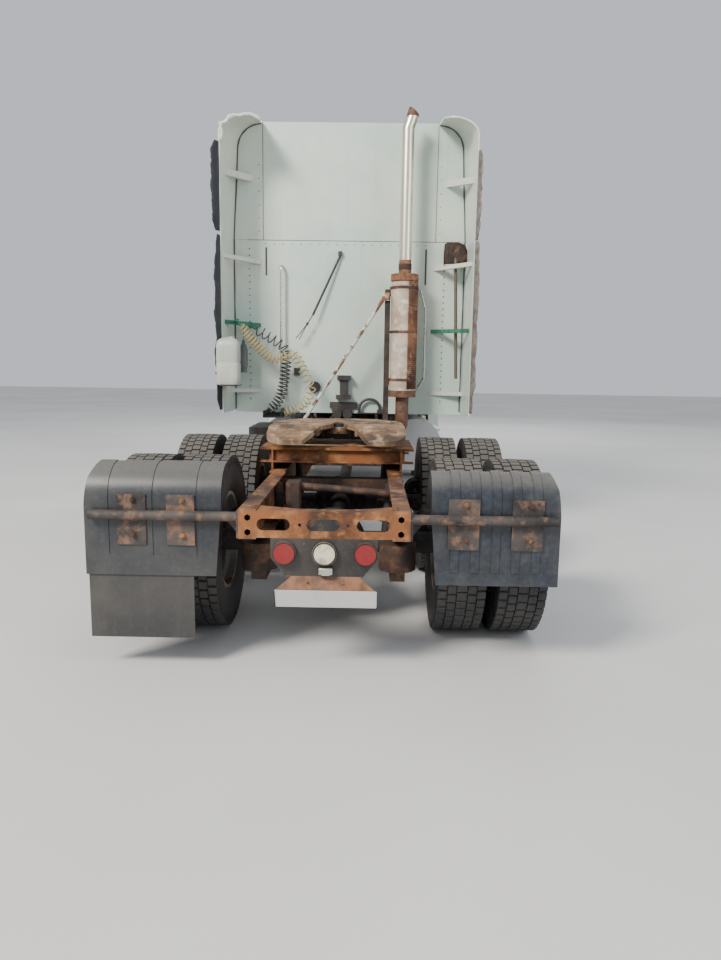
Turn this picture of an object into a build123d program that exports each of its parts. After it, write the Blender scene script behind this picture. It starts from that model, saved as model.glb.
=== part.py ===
from build123d import *

import os
from math import cos, pi, radians, sin, sqrt

# Semi truck tractor: three axles, conventional cab, high-roof sleeper.
# Millimetres. +X is the vehicle's right, +Y its front, +Z up, ground at z = 0.

os.makedirs("parts", exist_ok=True)

# Driving places along the vehicle
frame_tail_y = -4165
rear_axle_y = -3365
axle_spread = 1320
wall_y = -565
cab_joint_y = 1185
cab_front_y = 2520
front_axle_y = 2995
rail_front_y = 3960
hood_pivot_y = 4110
bumper_front_y = 4199
fore_axle_y = rear_axle_y + axle_spread

# Wheels
tyre_radius = 522
tyre_width = 280
wheel_z = tyre_radius
bead_radius = 287
rim_flange_radius = 298
rim_half_width = 112
dual_spacing = 336
dual_middle_x = 911
front_tyre_x = 1000
front_disc_x = 1150
kingpin_x = 850
hub_radius = 108
spindle_radius = 42
run_gap = 0.3
drum_radius = 207
stud_circle = 285.75
stud_count = 10

# Frame
rail_outer_x = 432
rail_flange = 89
rail_wall = 8
rail_top_z = 873
rail_depth = 267
rail_bottom_z = rail_top_z - rail_depth
rail_tail_depth = 153
rail_taper_y = -3600
rail_inner_x = rail_outer_x - rail_wall

# Cab and sleeper shell
cab_half_width = 1120
cab_taper_y = 1050
cab_front_half_width = 985
cab_floor_z = 1130
floor_wall = 50
cab_wall = 40
cab_stations = [
    # y, roof_z, corner_x, corner_z, waist_z, lean
    (wall_y, 3828, 240, 238, 2760, 45),
    (650, 3828, 240, 238, 2760, 45),
    (cab_taper_y, 3750, 240, 230, 2760, 45),
    (1480, 3490, 240, 240, 2760, 35),
    (1800, 3180, 240, 300, 2690, 15),
    (2110, 2770, 200, 230, 2400, 0),
    (cab_front_y, 1930, 150, 150, 1650, 0),
]
seam_z = 2767
seam_x = 822
seam_width = 6
seam_depth = 4

# Doors
door_gap = 6
door_low_z = cab_floor_z + floor_wall + 15
door_outline = [
    (1300, door_low_z),
    (2200, door_low_z),
    (2200, 2340),
    (2095, 2540),
    (1300, 2590),
]
window_outline = [(1390, 1960), (2115, 1960), (2115, 2320), (2035, 2500), (1390, 2530)]
glass_thickness = 6
seat_gap = 0.3
door_hinge_y = 2203
door_hinge_out = 14
hinge_radius = 9
hinge_places = (1350, 1950)

# Hood
hood_gap = 25
hood_rear_y = cab_front_y + hood_gap
hood_wall = 10
hood_floor_z = 700
hood_pivot_z = 700
hood_pin_radius = 12
hood_stations = [
    # y, half_width, roof_z, corner_x, corner_z
    (hood_rear_y, 985, 1915, 220, 200),
    (3050, 905, 1870, 250, 220),
    (3650, 770, 1765, 270, 250),
    (hood_pivot_y, 610, 1600, 260, 280),
]
nose_lean = 9.0
fender_outer_x = 1180
fender_inner_x = 520
fender_radius = 700
arch_radius = 640
fender_rear_y = 2330
fender_cab_clear_x = 1045

# Fifth wheel
kingpin_y = -2500
plate_top_z = 1185
plate_thickness = 30
plate_radius = 457
plate_rear = 330
ramp_length = 260
ramp_drop = 75
throat_half = 215
jaw_bore = 25.6
pivot_z = 1090
pivot_radius = 24
mount_plate_z = 1020
mount_plate_wall = 15
mount_half_width = 522
mount_web_depth = 76

# Exhaust
stack_x = 525
stack_y = wall_y - 250
stack_radius = 57
muffler_radius = 120
muffler_low_z = 1328
muffler_top_z = 2413
stack_top_z = 3885
mouth_tilt = 38
mouth_shift = 50
mouth_z = stack_top_z - stack_radius * sin(radians(mouth_tilt))
exhaust_run_z = 1030


def rear_view(y):
    """Upright plane across the vehicle: sketch x is +X, sketch y is +Z, facing the tail."""
    return Plane(origin=(0, y, 0), x_dir=(1, 0, 0), z_dir=(0, -1, 0))


def side_view(x):
    """Upright plane along the vehicle: sketch x is +Y, sketch y is +Z, facing +X."""
    return Plane(origin=(x, 0, 0), x_dir=(0, 1, 0), z_dir=(1, 0, 0))


def block(x_range, y_range, z_range, mode=Mode.ADD):
    """Box between two values on each axis, joined to the part being built."""
    centre = [(low + high) / 2 for low, high in (x_range, y_range, z_range)]
    lengths = [abs(high - low) for low, high in (x_range, y_range, z_range)]
    with Locations(tuple(centre)):
        Box(*lengths, mode=mode)


def rod(start, end, radius, mode=Mode.ADD):
    """Round bar from one point to another, joined to the part being built."""
    along = Vector(*end) - Vector(*start)
    with Locations(Plane(origin=start, z_dir=along)):
        Cylinder(
            radius,
            along.length,
            align=(Align.CENTER, Align.CENTER, Align.MIN),
            mode=mode,
        )


def plate(plane, points, thickness, mode=Mode.ADD, corner=0):
    """Flat polygon thickened along its plane's normal, joined to the part being built."""
    with BuildSketch(plane) as outline:
        with BuildLine():
            Polyline(*points, close=True)
        make_face()
        if corner:
            fillet(outline.vertices(), corner)
    extrude(outline.sketch, amount=thickness, mode=mode)


def ring(axis, plane, points, mode=Mode.ADD):
    """Polygon turned about an axis, joined to the part being built."""
    with BuildSketch(plane) as outline:
        with BuildLine():
            Polyline(*points, close=True)
        make_face()
    revolve(outline.sketch, axis=axis, mode=mode)


def cab_half_width_at(y):
    """Half width of the cab: parallel along the sleeper, then tapering to the cowl."""
    taper = (cab_half_width - cab_front_half_width) / (cab_front_y - cab_taper_y)
    return cab_half_width - max(0, y - cab_taper_y) * taper


def arched_loft(stations, floor_z):
    """Body between cross-sections: sides that lean in above the waist, elliptical roof corners."""
    with BuildPart() as form:
        for y, half_width, roof_z, corner_x, corner_z, waist_z, lean in stations:
            with BuildSketch(rear_view(y)):
                with BuildLine():
                    side_top = roof_z - corner_z
                    shoulder = half_width - lean
                    flat = shoulder - corner_x
                    Line((-half_width, floor_z), (half_width, floor_z))
                    Line((half_width, floor_z), (half_width, waist_z))
                    Line((half_width, waist_z), (shoulder, side_top))
                    EllipticalCenterArc((flat, side_top), corner_x, corner_z, 0, arc_size=90)
                    Line((flat, roof_z), (-flat, roof_z))
                    EllipticalCenterArc((-flat, side_top), corner_x, corner_z, 90, arc_size=90)
                    Line((-shoulder, side_top), (-half_width, waist_z))
                    Line((-half_width, waist_z), (-half_width, floor_z))
                make_face()
        loft(ruled=True)
    return form.part


def cab_form(wall):
    """Cab and sleeper body, or with a wall thickness the hollow inside it."""
    stations = []
    for y, roof_z, corner_x, corner_z, waist_z, lean in cab_stations:
        station_y = y + wall if y == wall_y else y - wall
        half_width = cab_half_width_at(y) - wall
        stations.append((station_y, half_width, roof_z - wall, corner_x, corner_z, waist_z, lean))
    floor_z = cab_floor_z + (floor_wall if wall else 0)
    return arched_loft(stations, floor_z)


cab_outside = cab_form(0)
cab_inside = cab_form(cab_wall)


def door_prism(points, shrink, corner):
    """Outline seen from the side, run right across the cab."""
    with BuildPart() as prism:
        with BuildSketch(side_view(-1400)) as outline:
            with BuildLine():
                Polyline(*points, close=True)
            make_face()
            if shrink:
                offset(amount=-shrink, kind=Kind.INTERSECTION, mode=Mode.REPLACE)
            fillet(outline.vertices(), corner)
        extrude(amount=2800)
    return prism.part


def side_slab(depth, thickness):
    """Slab that lies in the tapering side wall, some way in from its outer face."""
    near_y, far_y = door_outline[0][0] - 100, door_outline[1][0] + 100
    near_x = cab_half_width_at(near_y) - depth
    far_x = cab_half_width_at(far_y) - depth
    with BuildPart() as slab:
        plate(
            Plane.XY.offset(cab_floor_z),
            [(near_x, near_y), (near_x - thickness, near_y), (far_x - thickness, far_y), (far_x, far_y)],
            cab_stations[-2][1] - cab_floor_z,
        )
    return slab.part


door_opening = door_prism(door_outline, 0, 60)
door_leaf_prism = door_prism(door_outline, door_gap, 55)
window_prism = door_prism(window_outline, 0, 45)

windscreen_top = (2110, 2770)
windscreen_foot = (cab_front_y, 1930)
windscreen_rise = windscreen_top[1] - windscreen_foot[1]
windscreen_run = windscreen_foot[0] - windscreen_top[0]
windscreen_plane = Plane(
    origin=(
        0,
        (windscreen_top[0] + windscreen_foot[0]) / 2,
        (windscreen_top[1] + windscreen_foot[1]) / 2,
    ),
    x_dir=(1, 0, 0),
    z_dir=(0, windscreen_rise, windscreen_run),
)
windscreen_width = 1740
windscreen_height = 740
windscreen_corner = 90


# Cab shell, open to the sleeper behind
with BuildPart() as cab_shell:
    add(cab_outside)
    add(cab_inside, mode=Mode.SUBTRACT)
    split(bisect_by=Plane(origin=(0, cab_joint_y, 0), z_dir=(0, 1, 0)), keep=Keep.TOP)
    add(door_opening, mode=Mode.SUBTRACT)
    with BuildSketch(windscreen_plane):
        RectangleRounded(windscreen_width, windscreen_height, windscreen_corner)
    extrude(amount=120, both=True, mode=Mode.SUBTRACT)
    for side in (-1, 1):
        skin_x = cab_half_width_at(door_hinge_y)
        pin_x = side * (skin_x + door_hinge_out)
        for hinge_z in hinge_places:
            for low_z in (hinge_z - 60, hinge_z + 20.5):
                rod((pin_x, door_hinge_y, low_z), (pin_x, door_hinge_y, low_z + 39.5), hinge_radius)
                block(
                    (side * (skin_x - 12), pin_x),
                    (door_hinge_y + 2, door_hinge_y + 30),
                    (low_z, low_z + 39.5),
                )
                block(
                    (side * (skin_x + 3), pin_x + side * 5),
                    (door_hinge_y, door_hinge_y + 30),
                    (low_z, low_z + 39.5),
                )
cab_shell.part.label = "cab_shell"
export_step(cab_shell.part, "parts/cab_shell.step")

# Sleeper shell: side walls, high roof, back wall with panel seams, bunk platform
with BuildPart() as sleeper_shell:
    add(cab_outside)
    add(cab_inside, mode=Mode.SUBTRACT)
    split(bisect_by=Plane(origin=(0, cab_joint_y, 0), z_dir=(0, 1, 0)), keep=Keep.BOTTOM)
    block(
        (-cab_half_width + cab_wall - 1, cab_half_width - cab_wall + 1),
        (wall_y + cab_wall - 1, wall_y + cab_wall + 860),
        (cab_floor_z + floor_wall - 1, 1650),
    )
    seam_bottom = wall_y + seam_depth
    block(
        (-cab_half_width - 5, cab_half_width + 5),
        (wall_y - 5, seam_bottom),
        (seam_z - seam_width / 2, seam_z + seam_width / 2),
        mode=Mode.SUBTRACT,
    )
    for side in (-1, 1):
        block(
            (side * seam_x - seam_width / 2, side * seam_x + seam_width / 2),
            (wall_y - 5, seam_bottom),
            (seam_z, cab_stations[0][1] + 10),
            mode=Mode.SUBTRACT,
        )
sleeper_shell.part.label = "sleeper_shell"
export_step(sleeper_shell.part, "parts/sleeper_shell.step")

# Windscreen, seated in the middle of its opening's wall
with BuildPart() as windscreen:
    with BuildSketch(windscreen_plane.offset(-30)):
        RectangleRounded(
            windscreen_width - 2 * seat_gap,
            windscreen_height - 2 * seat_gap,
            windscreen_corner - seat_gap,
        )
    extrude(amount=glass_thickness)
windscreen.part.label = "windscreen"
export_step(windscreen.part, "parts/windscreen.step")

# Doors, each as thick as the cab's wall, with its mirror
mirror_low_z = 2010
mirror_height = 420
mirror_width = 210
mirror_depth = 90
mirror_y = 2150
mirror_out = 130
mirror_arm_radius = 13
hinge_skin_x = cab_half_width_at(door_hinge_y)
hinge_x = hinge_skin_x + door_hinge_out

with BuildPart() as door_right:
    add(side_slab(0, cab_wall))
    add(door_leaf_prism, mode=Mode.INTERSECT)
    add(window_prism, mode=Mode.SUBTRACT)
    for hinge_z in hinge_places:
        rod((hinge_x, door_hinge_y, hinge_z - 20), (hinge_x, door_hinge_y, hinge_z + 20), hinge_radius)
        block(
            (hinge_skin_x - 8, hinge_x),
            (door_hinge_y - 40, door_hinge_y - 3 - door_gap),
            (hinge_z - 20, hinge_z + 20),
        )
        block(
            (hinge_skin_x + 3, hinge_x + 5),
            (door_hinge_y - 20, door_hinge_y),
            (hinge_z - 20, hinge_z + 20),
        )
    mirror_x = cab_half_width_at(mirror_y)
    for arm_z in (mirror_low_z + 60, mirror_low_z + mirror_height - 60):
        rod(
            (mirror_x - 20, mirror_y, arm_z),
            (mirror_x + mirror_out + 20, mirror_y, arm_z),
            mirror_arm_radius,
        )
    with BuildSketch(rear_view(mirror_y + mirror_depth / 2)):
        with Locations((mirror_x + mirror_out + mirror_width / 2, mirror_low_z + mirror_height / 2)):
            RectangleRounded(mirror_width, mirror_height, 45)
    extrude(amount=mirror_depth)
door_right.part.label = "door_right"
export_step(door_right.part, "parts/door_right.step")

with BuildPart() as door_left:
    mirror(door_right.part, about=Plane.YZ)
door_left.part.label = "door_left"
export_step(door_left.part, "parts/door_left.step")

with BuildPart() as door_glass_right:
    add(side_slab(cab_wall / 2 - glass_thickness / 2, glass_thickness))
    add(window_prism, mode=Mode.INTERSECT)
door_glass_right.part.label = "door_glass_right"
export_step(door_glass_right.part, "parts/door_glass_right.step")

with BuildPart() as door_glass_left:
    mirror(door_glass_right.part, about=Plane.YZ)
door_glass_left.part.label = "door_glass_left"
export_step(door_glass_left.part, "parts/door_glass_left.step")


def fender_form(side, wall):
    """One front wheel's fender as a filled body, or with a wall the hollow inside it."""
    crown_z = wheel_z + fender_radius
    drop = sqrt(fender_radius**2 - (front_axle_y - fender_rear_y) ** 2)
    shoulder_y = 2500
    shoulder_z = wheel_z + sqrt(fender_radius**2 - (front_axle_y - shoulder_y) ** 2)
    with BuildPart() as fender:
        with BuildSketch(side_view(0)):
            with BuildLine():
                Line((fender_rear_y, hood_floor_z), (fender_rear_y, wheel_z + drop))
                ThreePointArc(
                    (fender_rear_y, wheel_z + drop),
                    (shoulder_y, shoulder_z),
                    (front_axle_y, crown_z),
                )
                Line((front_axle_y, crown_z), (3540, 1190))
                ThreePointArc((3540, 1190), (3890, 1085), (4050, 820))
                Line((4050, 820), (4075, hood_floor_z))
                Line((4075, hood_floor_z), (fender_rear_y, hood_floor_z))
            make_face()
            if wall:
                offset(amount=-wall, kind=Kind.INTERSECTION, mode=Mode.REPLACE)
                with Locations(((fender_rear_y + 4075) / 2 - 4, hood_floor_z)):
                    Rectangle(4075 - fender_rear_y - 2 * wall - 12, 40 + 2 * wall)
        extrude(amount=1400, both=True)
        with BuildSketch(Plane.XY.offset(400)):
            with BuildLine():
                inner = side * (fender_inner_x + wall)
                outer = side * (fender_outer_x - wall)
                Line((inner, fender_rear_y), (outer, fender_rear_y))
                Line((outer, fender_rear_y), (outer, 3450))
                ThreePointArc(
                    (outer, 3450),
                    (side * (1105 - 0.8 * wall), 3830 - 0.5 * wall),
                    (side * 800, 4080 - wall),
                )
                Line((side * 800, 4080 - wall), (inner, 4095 - wall))
                Line((inner, 4095 - wall), (inner, fender_rear_y))
            make_face()
        extrude(amount=1000, mode=Mode.INTERSECT)
    return fender.part


def hood_form(wall):
    """Hood and fenders as one filled body, or with a wall the hollow inside it."""
    stations = []
    for y, half_width, roof_z, corner_x, corner_z in hood_stations:
        station_y = y - 40 if wall and y == hood_rear_y else y
        waist_z = (hood_floor_z + roof_z - corner_z) / 2
        stations.append((station_y, half_width - wall, roof_z - wall, corner_x, corner_z, waist_z, 0))
    with BuildPart() as form:
        add(arched_loft(stations, hood_floor_z - 3 * wall))
        for side in (-1, 1):
            add(fender_form(side, wall))
        nose = Plane(origin=(0, hood_pivot_y - wall, hood_pivot_z), z_dir=(0, 1, 0))
        split(bisect_by=nose.rotated((nose_lean, 0, 0)), keep=Keep.BOTTOM)
    return form.part


hood_outside = hood_form(0)
hood_inside = hood_form(hood_wall)
nose_plane = Plane(
    origin=(0, hood_pivot_y, hood_pivot_z),
    x_dir=(1, 0, 0),
    z_dir=(0, cos(radians(nose_lean)), sin(radians(nose_lean))),
)
grille_width = 820
grille_height = 620
grille_low = 130
lamp_low_z = 880
lamp_high_z = 1060
lamp_inner_x = 690
lamp_depth = 60
grille_plane = Plane(
    origin=nose_plane.origin
    + Vector(0, -sin(radians(nose_lean)), cos(radians(nose_lean))) * (grille_low + grille_height / 2),
    x_dir=(1, 0, 0),
    z_dir=nose_plane.z_dir,
)


def lamp_region(side, grow):
    """Block that a headlamp takes out of the fender's front corner."""
    with BuildPart() as region:
        block(
            (side * (lamp_inner_x - grow), side * (fender_outer_x + 20)),
            (3700 - grow, 4200),
            (lamp_low_z - grow, lamp_high_z + grow),
        )
    return region.part


# Hood with its fenders, one moulding
with BuildPart() as hood:
    add(hood_outside)
    add(hood_inside, mode=Mode.SUBTRACT)
    for side in (-1, 1):
        rod(
            (side * 500, front_axle_y, wheel_z),
            (side * 1300, front_axle_y, wheel_z),
            arch_radius,
            mode=Mode.SUBTRACT,
        )
        add(lamp_region(side, seat_gap), mode=Mode.SUBTRACT)
    block(
        (-fender_cab_clear_x, fender_cab_clear_x),
        (2000, hood_rear_y),
        (hood_floor_z - 100, 2200),
        mode=Mode.SUBTRACT,
    )
    with BuildSketch(grille_plane):
        RectangleRounded(grille_width, grille_height, 60)
    extrude(amount=90, both=True, mode=Mode.SUBTRACT)
    for side in (-1, 1):
        block(
            (side * 290, side * 376),
            (hood_pivot_y - 60, hood_pivot_y + 60),
            (hood_floor_z - 20, hood_pivot_z + 44),
            mode=Mode.SUBTRACT,
        )
        lug_x = (side * 338, side * 364)
        rod((lug_x[0], hood_pivot_y, hood_pivot_z), (lug_x[1], hood_pivot_y, hood_pivot_z), 24)
        block(lug_x, (hood_pivot_y - 36, hood_pivot_y - 12), (hood_pivot_z - 10, hood_pivot_z + 90))
        block(lug_x, (hood_pivot_y - 20, hood_pivot_y + 5), (hood_pivot_z, hood_pivot_z + 22))
        rod(
            (side * 330, hood_pivot_y, hood_pivot_z),
            (side * 370, hood_pivot_y, hood_pivot_z),
            hood_pin_radius + run_gap,
            mode=Mode.SUBTRACT,
        )
hood.part.label = "hood"
export_step(hood.part, "parts/hood.step")

# Headlamps: lenses that follow the fender's front corner
with BuildPart() as headlamps:
    add(fender_form(1, 0))
    add(fender_form(-1, 0))
    add(fender_form(1, lamp_depth), mode=Mode.SUBTRACT)
    add(fender_form(-1, lamp_depth), mode=Mode.SUBTRACT)
    with BuildPart(mode=Mode.PRIVATE) as both_lamps:
        add(lamp_region(1, 0))
        add(lamp_region(-1, 0))
    add(both_lamps.part, mode=Mode.INTERSECT)
headlamps.part.label = "headlamps"
export_step(headlamps.part, "parts/headlamps.step")

# Grille: a frame with level bars
grille_bars = 11
with BuildPart() as grille:
    with BuildSketch(grille_plane.offset(-45)):
        RectangleRounded(grille_width - 2 * seat_gap, grille_height - 2 * seat_gap, 60)
        RectangleRounded(grille_width - 60, grille_height - 60, 40, mode=Mode.SUBTRACT)
    extrude(amount=50)
    bar_pitch = (grille_height - 60) / (grille_bars + 1)
    with BuildSketch(grille_plane.offset(-40)):
        with GridLocations(0, bar_pitch, 1, grille_bars):
            Rectangle(grille_width - 40, 16)
        Rectangle(26, grille_height - 40)
    extrude(amount=34)
grille.part.label = "grille"
export_step(grille.part, "parts/grille.step")

# Bumper with its two mounting horns
bumper_low_z = 330
bumper_top_z = 660
bumper_wall = 10
with BuildPart() as bumper:
    with BuildSketch(Plane.XY.offset(bumper_low_z)):
        with BuildLine():
            for side in (-1, 1):
                Line((side * 1185, 3700), (side * 1185, 3830))
                ThreePointArc((side * 1185, 3830), (side * 1060, 4085), (side * 700, 4185))
            ThreePointArc((-700, 4185), (0, bumper_front_y - bumper_wall / 2), (700, 4185))
        trace(line_width=bumper_wall)
    extrude(amount=bumper_top_z - bumper_low_z)
    for side in (-1, 1):
        block(
            (side * (rail_outer_x - rail_flange), side * rail_outer_x),
            (rail_front_y, bumper_front_y - 11),
            (rail_bottom_z - 60, bumper_top_z - 4),
        )
bumper.part.label = "bumper"
export_step(bumper.part, "parts/bumper.step")


# Frame rails: two channels, flanges inward, shallower at the tail
def rail_outline(inset, overrun):
    """Side outline of a rail, or with an inset the space between its flanges."""
    rise = rail_top_z - rail_tail_depth + inset
    return [
        (frame_tail_y - overrun, rail_top_z - inset),
        (frame_tail_y - overrun, rise),
        (frame_tail_y + 40, rise),
        (rail_taper_y, rail_bottom_z + inset),
        (rail_front_y + overrun, rail_bottom_z + inset),
        (rail_front_y + overrun, rail_top_z - inset),
    ]


with BuildPart() as frame_rails:
    for side in (-1, 1):
        plate(side_view(side * rail_outer_x), rail_outline(0, 0), -side * rail_flange)
        plate(
            side_view(side * rail_inner_x),
            rail_outline(rail_wall, 1),
            -side * rail_flange,
            mode=Mode.SUBTRACT,
        )
frame_rails.part.label = "frame_rails"
export_step(frame_rails.part, "parts/frame_rails.step")

# Crossmembers: channels between the rails' webs, and the hood's pivot at the front
crossmember_places = [-2705, -1380, -150, 1100]
cab_mount_places = [-430, 1120, 2400]
member_width = 110
member_top_z = rail_top_z - 60
member_low_z = rail_top_z - 150
with BuildPart() as crossmembers:
    for member_y in crossmember_places:
        block(
            (-rail_inner_x, rail_inner_x),
            (member_y - member_width / 2, member_y + member_width / 2),
            (member_low_z, member_top_z),
        )
        block(
            (-rail_inner_x - 1, rail_inner_x + 1),
            (member_y - member_width / 2 + rail_wall, member_y + member_width),
            (member_low_z + rail_wall, member_top_z - rail_wall),
            mode=Mode.SUBTRACT,
        )
    block((-rail_inner_x, rail_inner_x), (3830, 3940), (rail_bottom_z + 20, rail_bottom_z + 120))
    for side in (-1, 1):
        block(
            (side * 300, side * 330),
            (3930, hood_pivot_y + 18),
            (hood_pivot_z - 18, hood_pivot_z + 18),
        )
        rod((side * 300, hood_pivot_y, hood_pivot_z), (side * 366, hood_pivot_y, hood_pivot_z), hood_pin_radius)
        for mount_y in cab_mount_places:
            block(
                (side * (rail_outer_x - rail_flange + 5), side * (rail_outer_x - 5)),
                (mount_y - 45, mount_y + 45),
                (rail_top_z, cab_floor_z),
            )
crossmembers.part.label = "crossmembers"
export_step(crossmembers.part, "parts/crossmembers.step")

# Tail crossmember: channel with an arched top flange and three long slots
tail_top_z = rail_top_z - rail_wall
tail_low_z = tail_top_z - (rail_tail_depth - 2 * rail_wall)
tail_depth = 80
slot_z = 796
slot_length = 167
slot_height = 61
with BuildPart() as rear_crossmember:
    block(
        (-rail_inner_x, rail_inner_x),
        (frame_tail_y, frame_tail_y + rail_wall),
        (tail_low_z, tail_top_z),
    )
    block(
        (-rail_inner_x, rail_inner_x),
        (frame_tail_y, frame_tail_y + tail_depth),
        (tail_low_z, tail_low_z + rail_wall),
    )
    with BuildSketch(Plane.XY.offset(tail_top_z - rail_wall)):
        with BuildLine():
            gusset_y = frame_tail_y + 210
            Polyline(
                (-rail_inner_x, gusset_y),
                (-rail_inner_x, frame_tail_y),
                (rail_inner_x, frame_tail_y),
                (rail_inner_x, gusset_y),
            )
            ThreePointArc(
                (rail_inner_x, gusset_y),
                (0, frame_tail_y + tail_depth - 15),
                (-rail_inner_x, gusset_y),
            )
        make_face()
    extrude(amount=rail_wall)
    with BuildSketch(rear_view(frame_tail_y - 5)):
        with Locations((-256, slot_z), (-5, slot_z), (246, slot_z)):
            SlotOverall(slot_length, slot_height)
        with Locations((-122, slot_z), (118, slot_z)):
            Circle(9)
    extrude(amount=-(rail_wall + 10), mode=Mode.SUBTRACT)
rear_crossmember.part.label = "rear_crossmember"
export_step(rear_crossmember.part, "parts/rear_crossmember.step")

# Lamp panel below the tail, with the bent bracket that carries the licence plate
panel_y = frame_tail_y
panel_wall = 5
panel_half = 270
panel_low_z = 530
plate_height = 112
plate_width = 520
plate_middle_x = 8
plate_wall = 3
lamp_rise = 34
ridge_y = panel_y - lamp_rise + plate_wall
ridge_z = 468
plate_lean = 25
plate_plane = Plane(
    origin=(plate_middle_x, ridge_y, ridge_z),
    x_dir=(1, 0, 0),
    z_dir=(0, -cos(radians(plate_lean)), -sin(radians(plate_lean))),
)
bracket_drop = panel_low_z + 4 - ridge_z
bracket_plane = Plane(
    origin=(plate_middle_x, ridge_y, ridge_z),
    x_dir=(1, 0, 0),
    z_dir=(0, -bracket_drop, panel_y - ridge_y),
)
bracket_length = sqrt(bracket_drop**2 + (panel_y - ridge_y) ** 2)
with BuildPart() as lamp_panel:
    plate(
        rear_view(panel_y),
        [
            (-panel_half, tail_low_z),
            (panel_half, tail_low_z),
            (panel_half, panel_low_z + 95),
            (panel_half - 75, panel_low_z),
            (-panel_half + 75, panel_low_z),
            (-panel_half, panel_low_z + 95),
        ],
        -panel_wall,
    )
    block((-panel_half, panel_half), (panel_y, panel_y + 70), (tail_low_z - 4, tail_low_z))
    plate(
        bracket_plane,
        [(-170, bracket_length), (170, bracket_length), (plate_width / 2 - 8, 0), (-plate_width / 2 + 8, 0)],
        -panel_wall,
    )
    plate(
        plate_plane,
        [
            (-plate_width / 2 + 8, 3),
            (plate_width / 2 - 8, 3),
            (plate_width / 2 - 8, -plate_height + 12),
            (-plate_width / 2 + 8, -plate_height + 12),
        ],
        -panel_wall,
    )
    block((-27, 46), (panel_y - 24, panel_y), (panel_low_z + 18, panel_low_z + 54))
lamp_panel.part.label = "lamp_panel"
export_step(lamp_panel.part, "parts/lamp_panel.step")

with BuildPart() as licence_plate:
    with BuildSketch(plate_plane):
        with Locations((0, -plate_height / 2)):
            RectangleRounded(plate_width, plate_height, 6)
    extrude(amount=plate_wall)
licence_plate.part.label = "licence_plate"
export_step(licence_plate.part, "parts/licence_plate.step")

# Round tail lamps, domed lenses in short cups
lamp_radius = 61
lamp_z = 655
lamp_places = (-199, 3, 209)
with BuildPart() as tail_lamps:
    for lamp_x in lamp_places:
        with BuildSketch(rear_view(panel_y)):
            with Locations((lamp_x, lamp_z)):
                Circle(lamp_radius)
        extrude(amount=lamp_rise - 8)
        with BuildSketch(rear_view(panel_y)):
            with Locations((lamp_x, lamp_z)):
                Circle(lamp_radius - 9)
        extrude(amount=lamp_rise)
tail_lamps.part.label = "tail_lamps"
export_step(tail_lamps.part, "parts/tail_lamps.step")

# Mudguards: quarter shells that follow the rear tyres, pressed with grooves or ribs
guard_wall = 8
guard_rear_y = -4108
guard_flange = 45
guard_corner_x = 42
guard_corner_z = 210
groove_depth = 4
rib_rise = 6


def guard_band(near_y, top_z, bend, thickness, low_z, x_range):
    """Sheet that rises from its foot and rolls forward over the tyre, between two sides."""
    inner_bend = bend - thickness
    share = cos(radians(45))
    with BuildPart() as band:
        with BuildSketch(side_view(min(x_range))):
            with BuildLine():
                Line((near_y, low_z), (near_y, top_z - bend))
                ThreePointArc(
                    (near_y, top_z - bend),
                    (near_y + bend * (1 - share), top_z - bend * (1 - share)),
                    (near_y + bend, top_z),
                )
                Line((near_y + bend, top_z), (near_y + bend, top_z - thickness))
                ThreePointArc(
                    (near_y + bend, top_z - thickness),
                    (near_y + bend - inner_bend * share, top_z - bend + inner_bend * share),
                    (near_y + thickness, top_z - bend),
                )
                Line((near_y + thickness, top_z - bend), (near_y + thickness, low_z))
                Line((near_y + thickness, low_z), (near_y, low_z))
            make_face()
        extrude(amount=abs(x_range[1] - x_range[0]))
    return band.part


def guard_outline(side, inner_x, outer_x, low_z, top_z):
    """Region seen from behind that keeps a guard's sides, with its outer top corner cut off."""
    with BuildPart() as region:
        plate(
            rear_view(guard_rear_y - 20),
            [
                (side * (inner_x + 30), low_z),
                (side * outer_x, low_z),
                (side * outer_x, top_z - guard_corner_z),
                (side * (outer_x - guard_corner_x * 0.3), top_z - guard_corner_z * 0.35),
                (side * (outer_x - guard_corner_x), top_z + 10),
                (side * inner_x, top_z + 10),
                (side * inner_x, top_z - guard_corner_z),
            ],
            -400,
        )
    return region.part


left_guard = {"inner_x": 528, "outer_x": 1228, "low_z": 507, "top_z": 1080}
right_guard = {"inner_x": 540, "outer_x": 1196, "low_z": 478, "top_z": 1052}
with BuildPart() as mudguards:
    for side, size, bend, rise in ((-1, left_guard, 185, 0), (1, right_guard, 150, rib_rise)):
        base_y = guard_rear_y + rise
        inner_x, outer_x = side * size["inner_x"], side * size["outer_x"]
        with BuildPart(mode=Mode.PRIVATE) as guard:
            add(guard_band(base_y, size["top_z"], bend, guard_wall, size["low_z"], (inner_x, outer_x)))
            for edge_x, inward in ((inner_x, side * guard_wall), (outer_x, -side * guard_wall)):
                edge = (edge_x, edge_x + inward)
                add(guard_band(base_y, size["top_z"], bend, guard_flange, size["low_z"], edge))
            if rise:
                for rib_x in (662, 766, 870, 973, 1077):
                    rib = (rib_x - 21, rib_x + 21)
                    add(
                        guard_band(
                            base_y - rise,
                            size["top_z"] + rise,
                            bend + rise,
                            guard_wall,
                            size["low_z"] + 70,
                            rib,
                        )
                    )
            else:
                for groove_low, groove_high in ((-1105, -1054), (-880, -839), (-656, -615)):
                    groove = (groove_low, groove_high)
                    add(
                        guard_band(
                            base_y - 1,
                            size["top_z"] + 1,
                            bend + 1,
                            groove_depth + 1,
                            size["low_z"] + 105,
                            groove,
                        ),
                        mode=Mode.SUBTRACT,
                    )
            add(guard_outline(side, **size), mode=Mode.INTERSECT)
        add(guard.part)
mudguards.part.label = "mudguards"
export_step(mudguards.part, "parts/mudguards.step")

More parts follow.
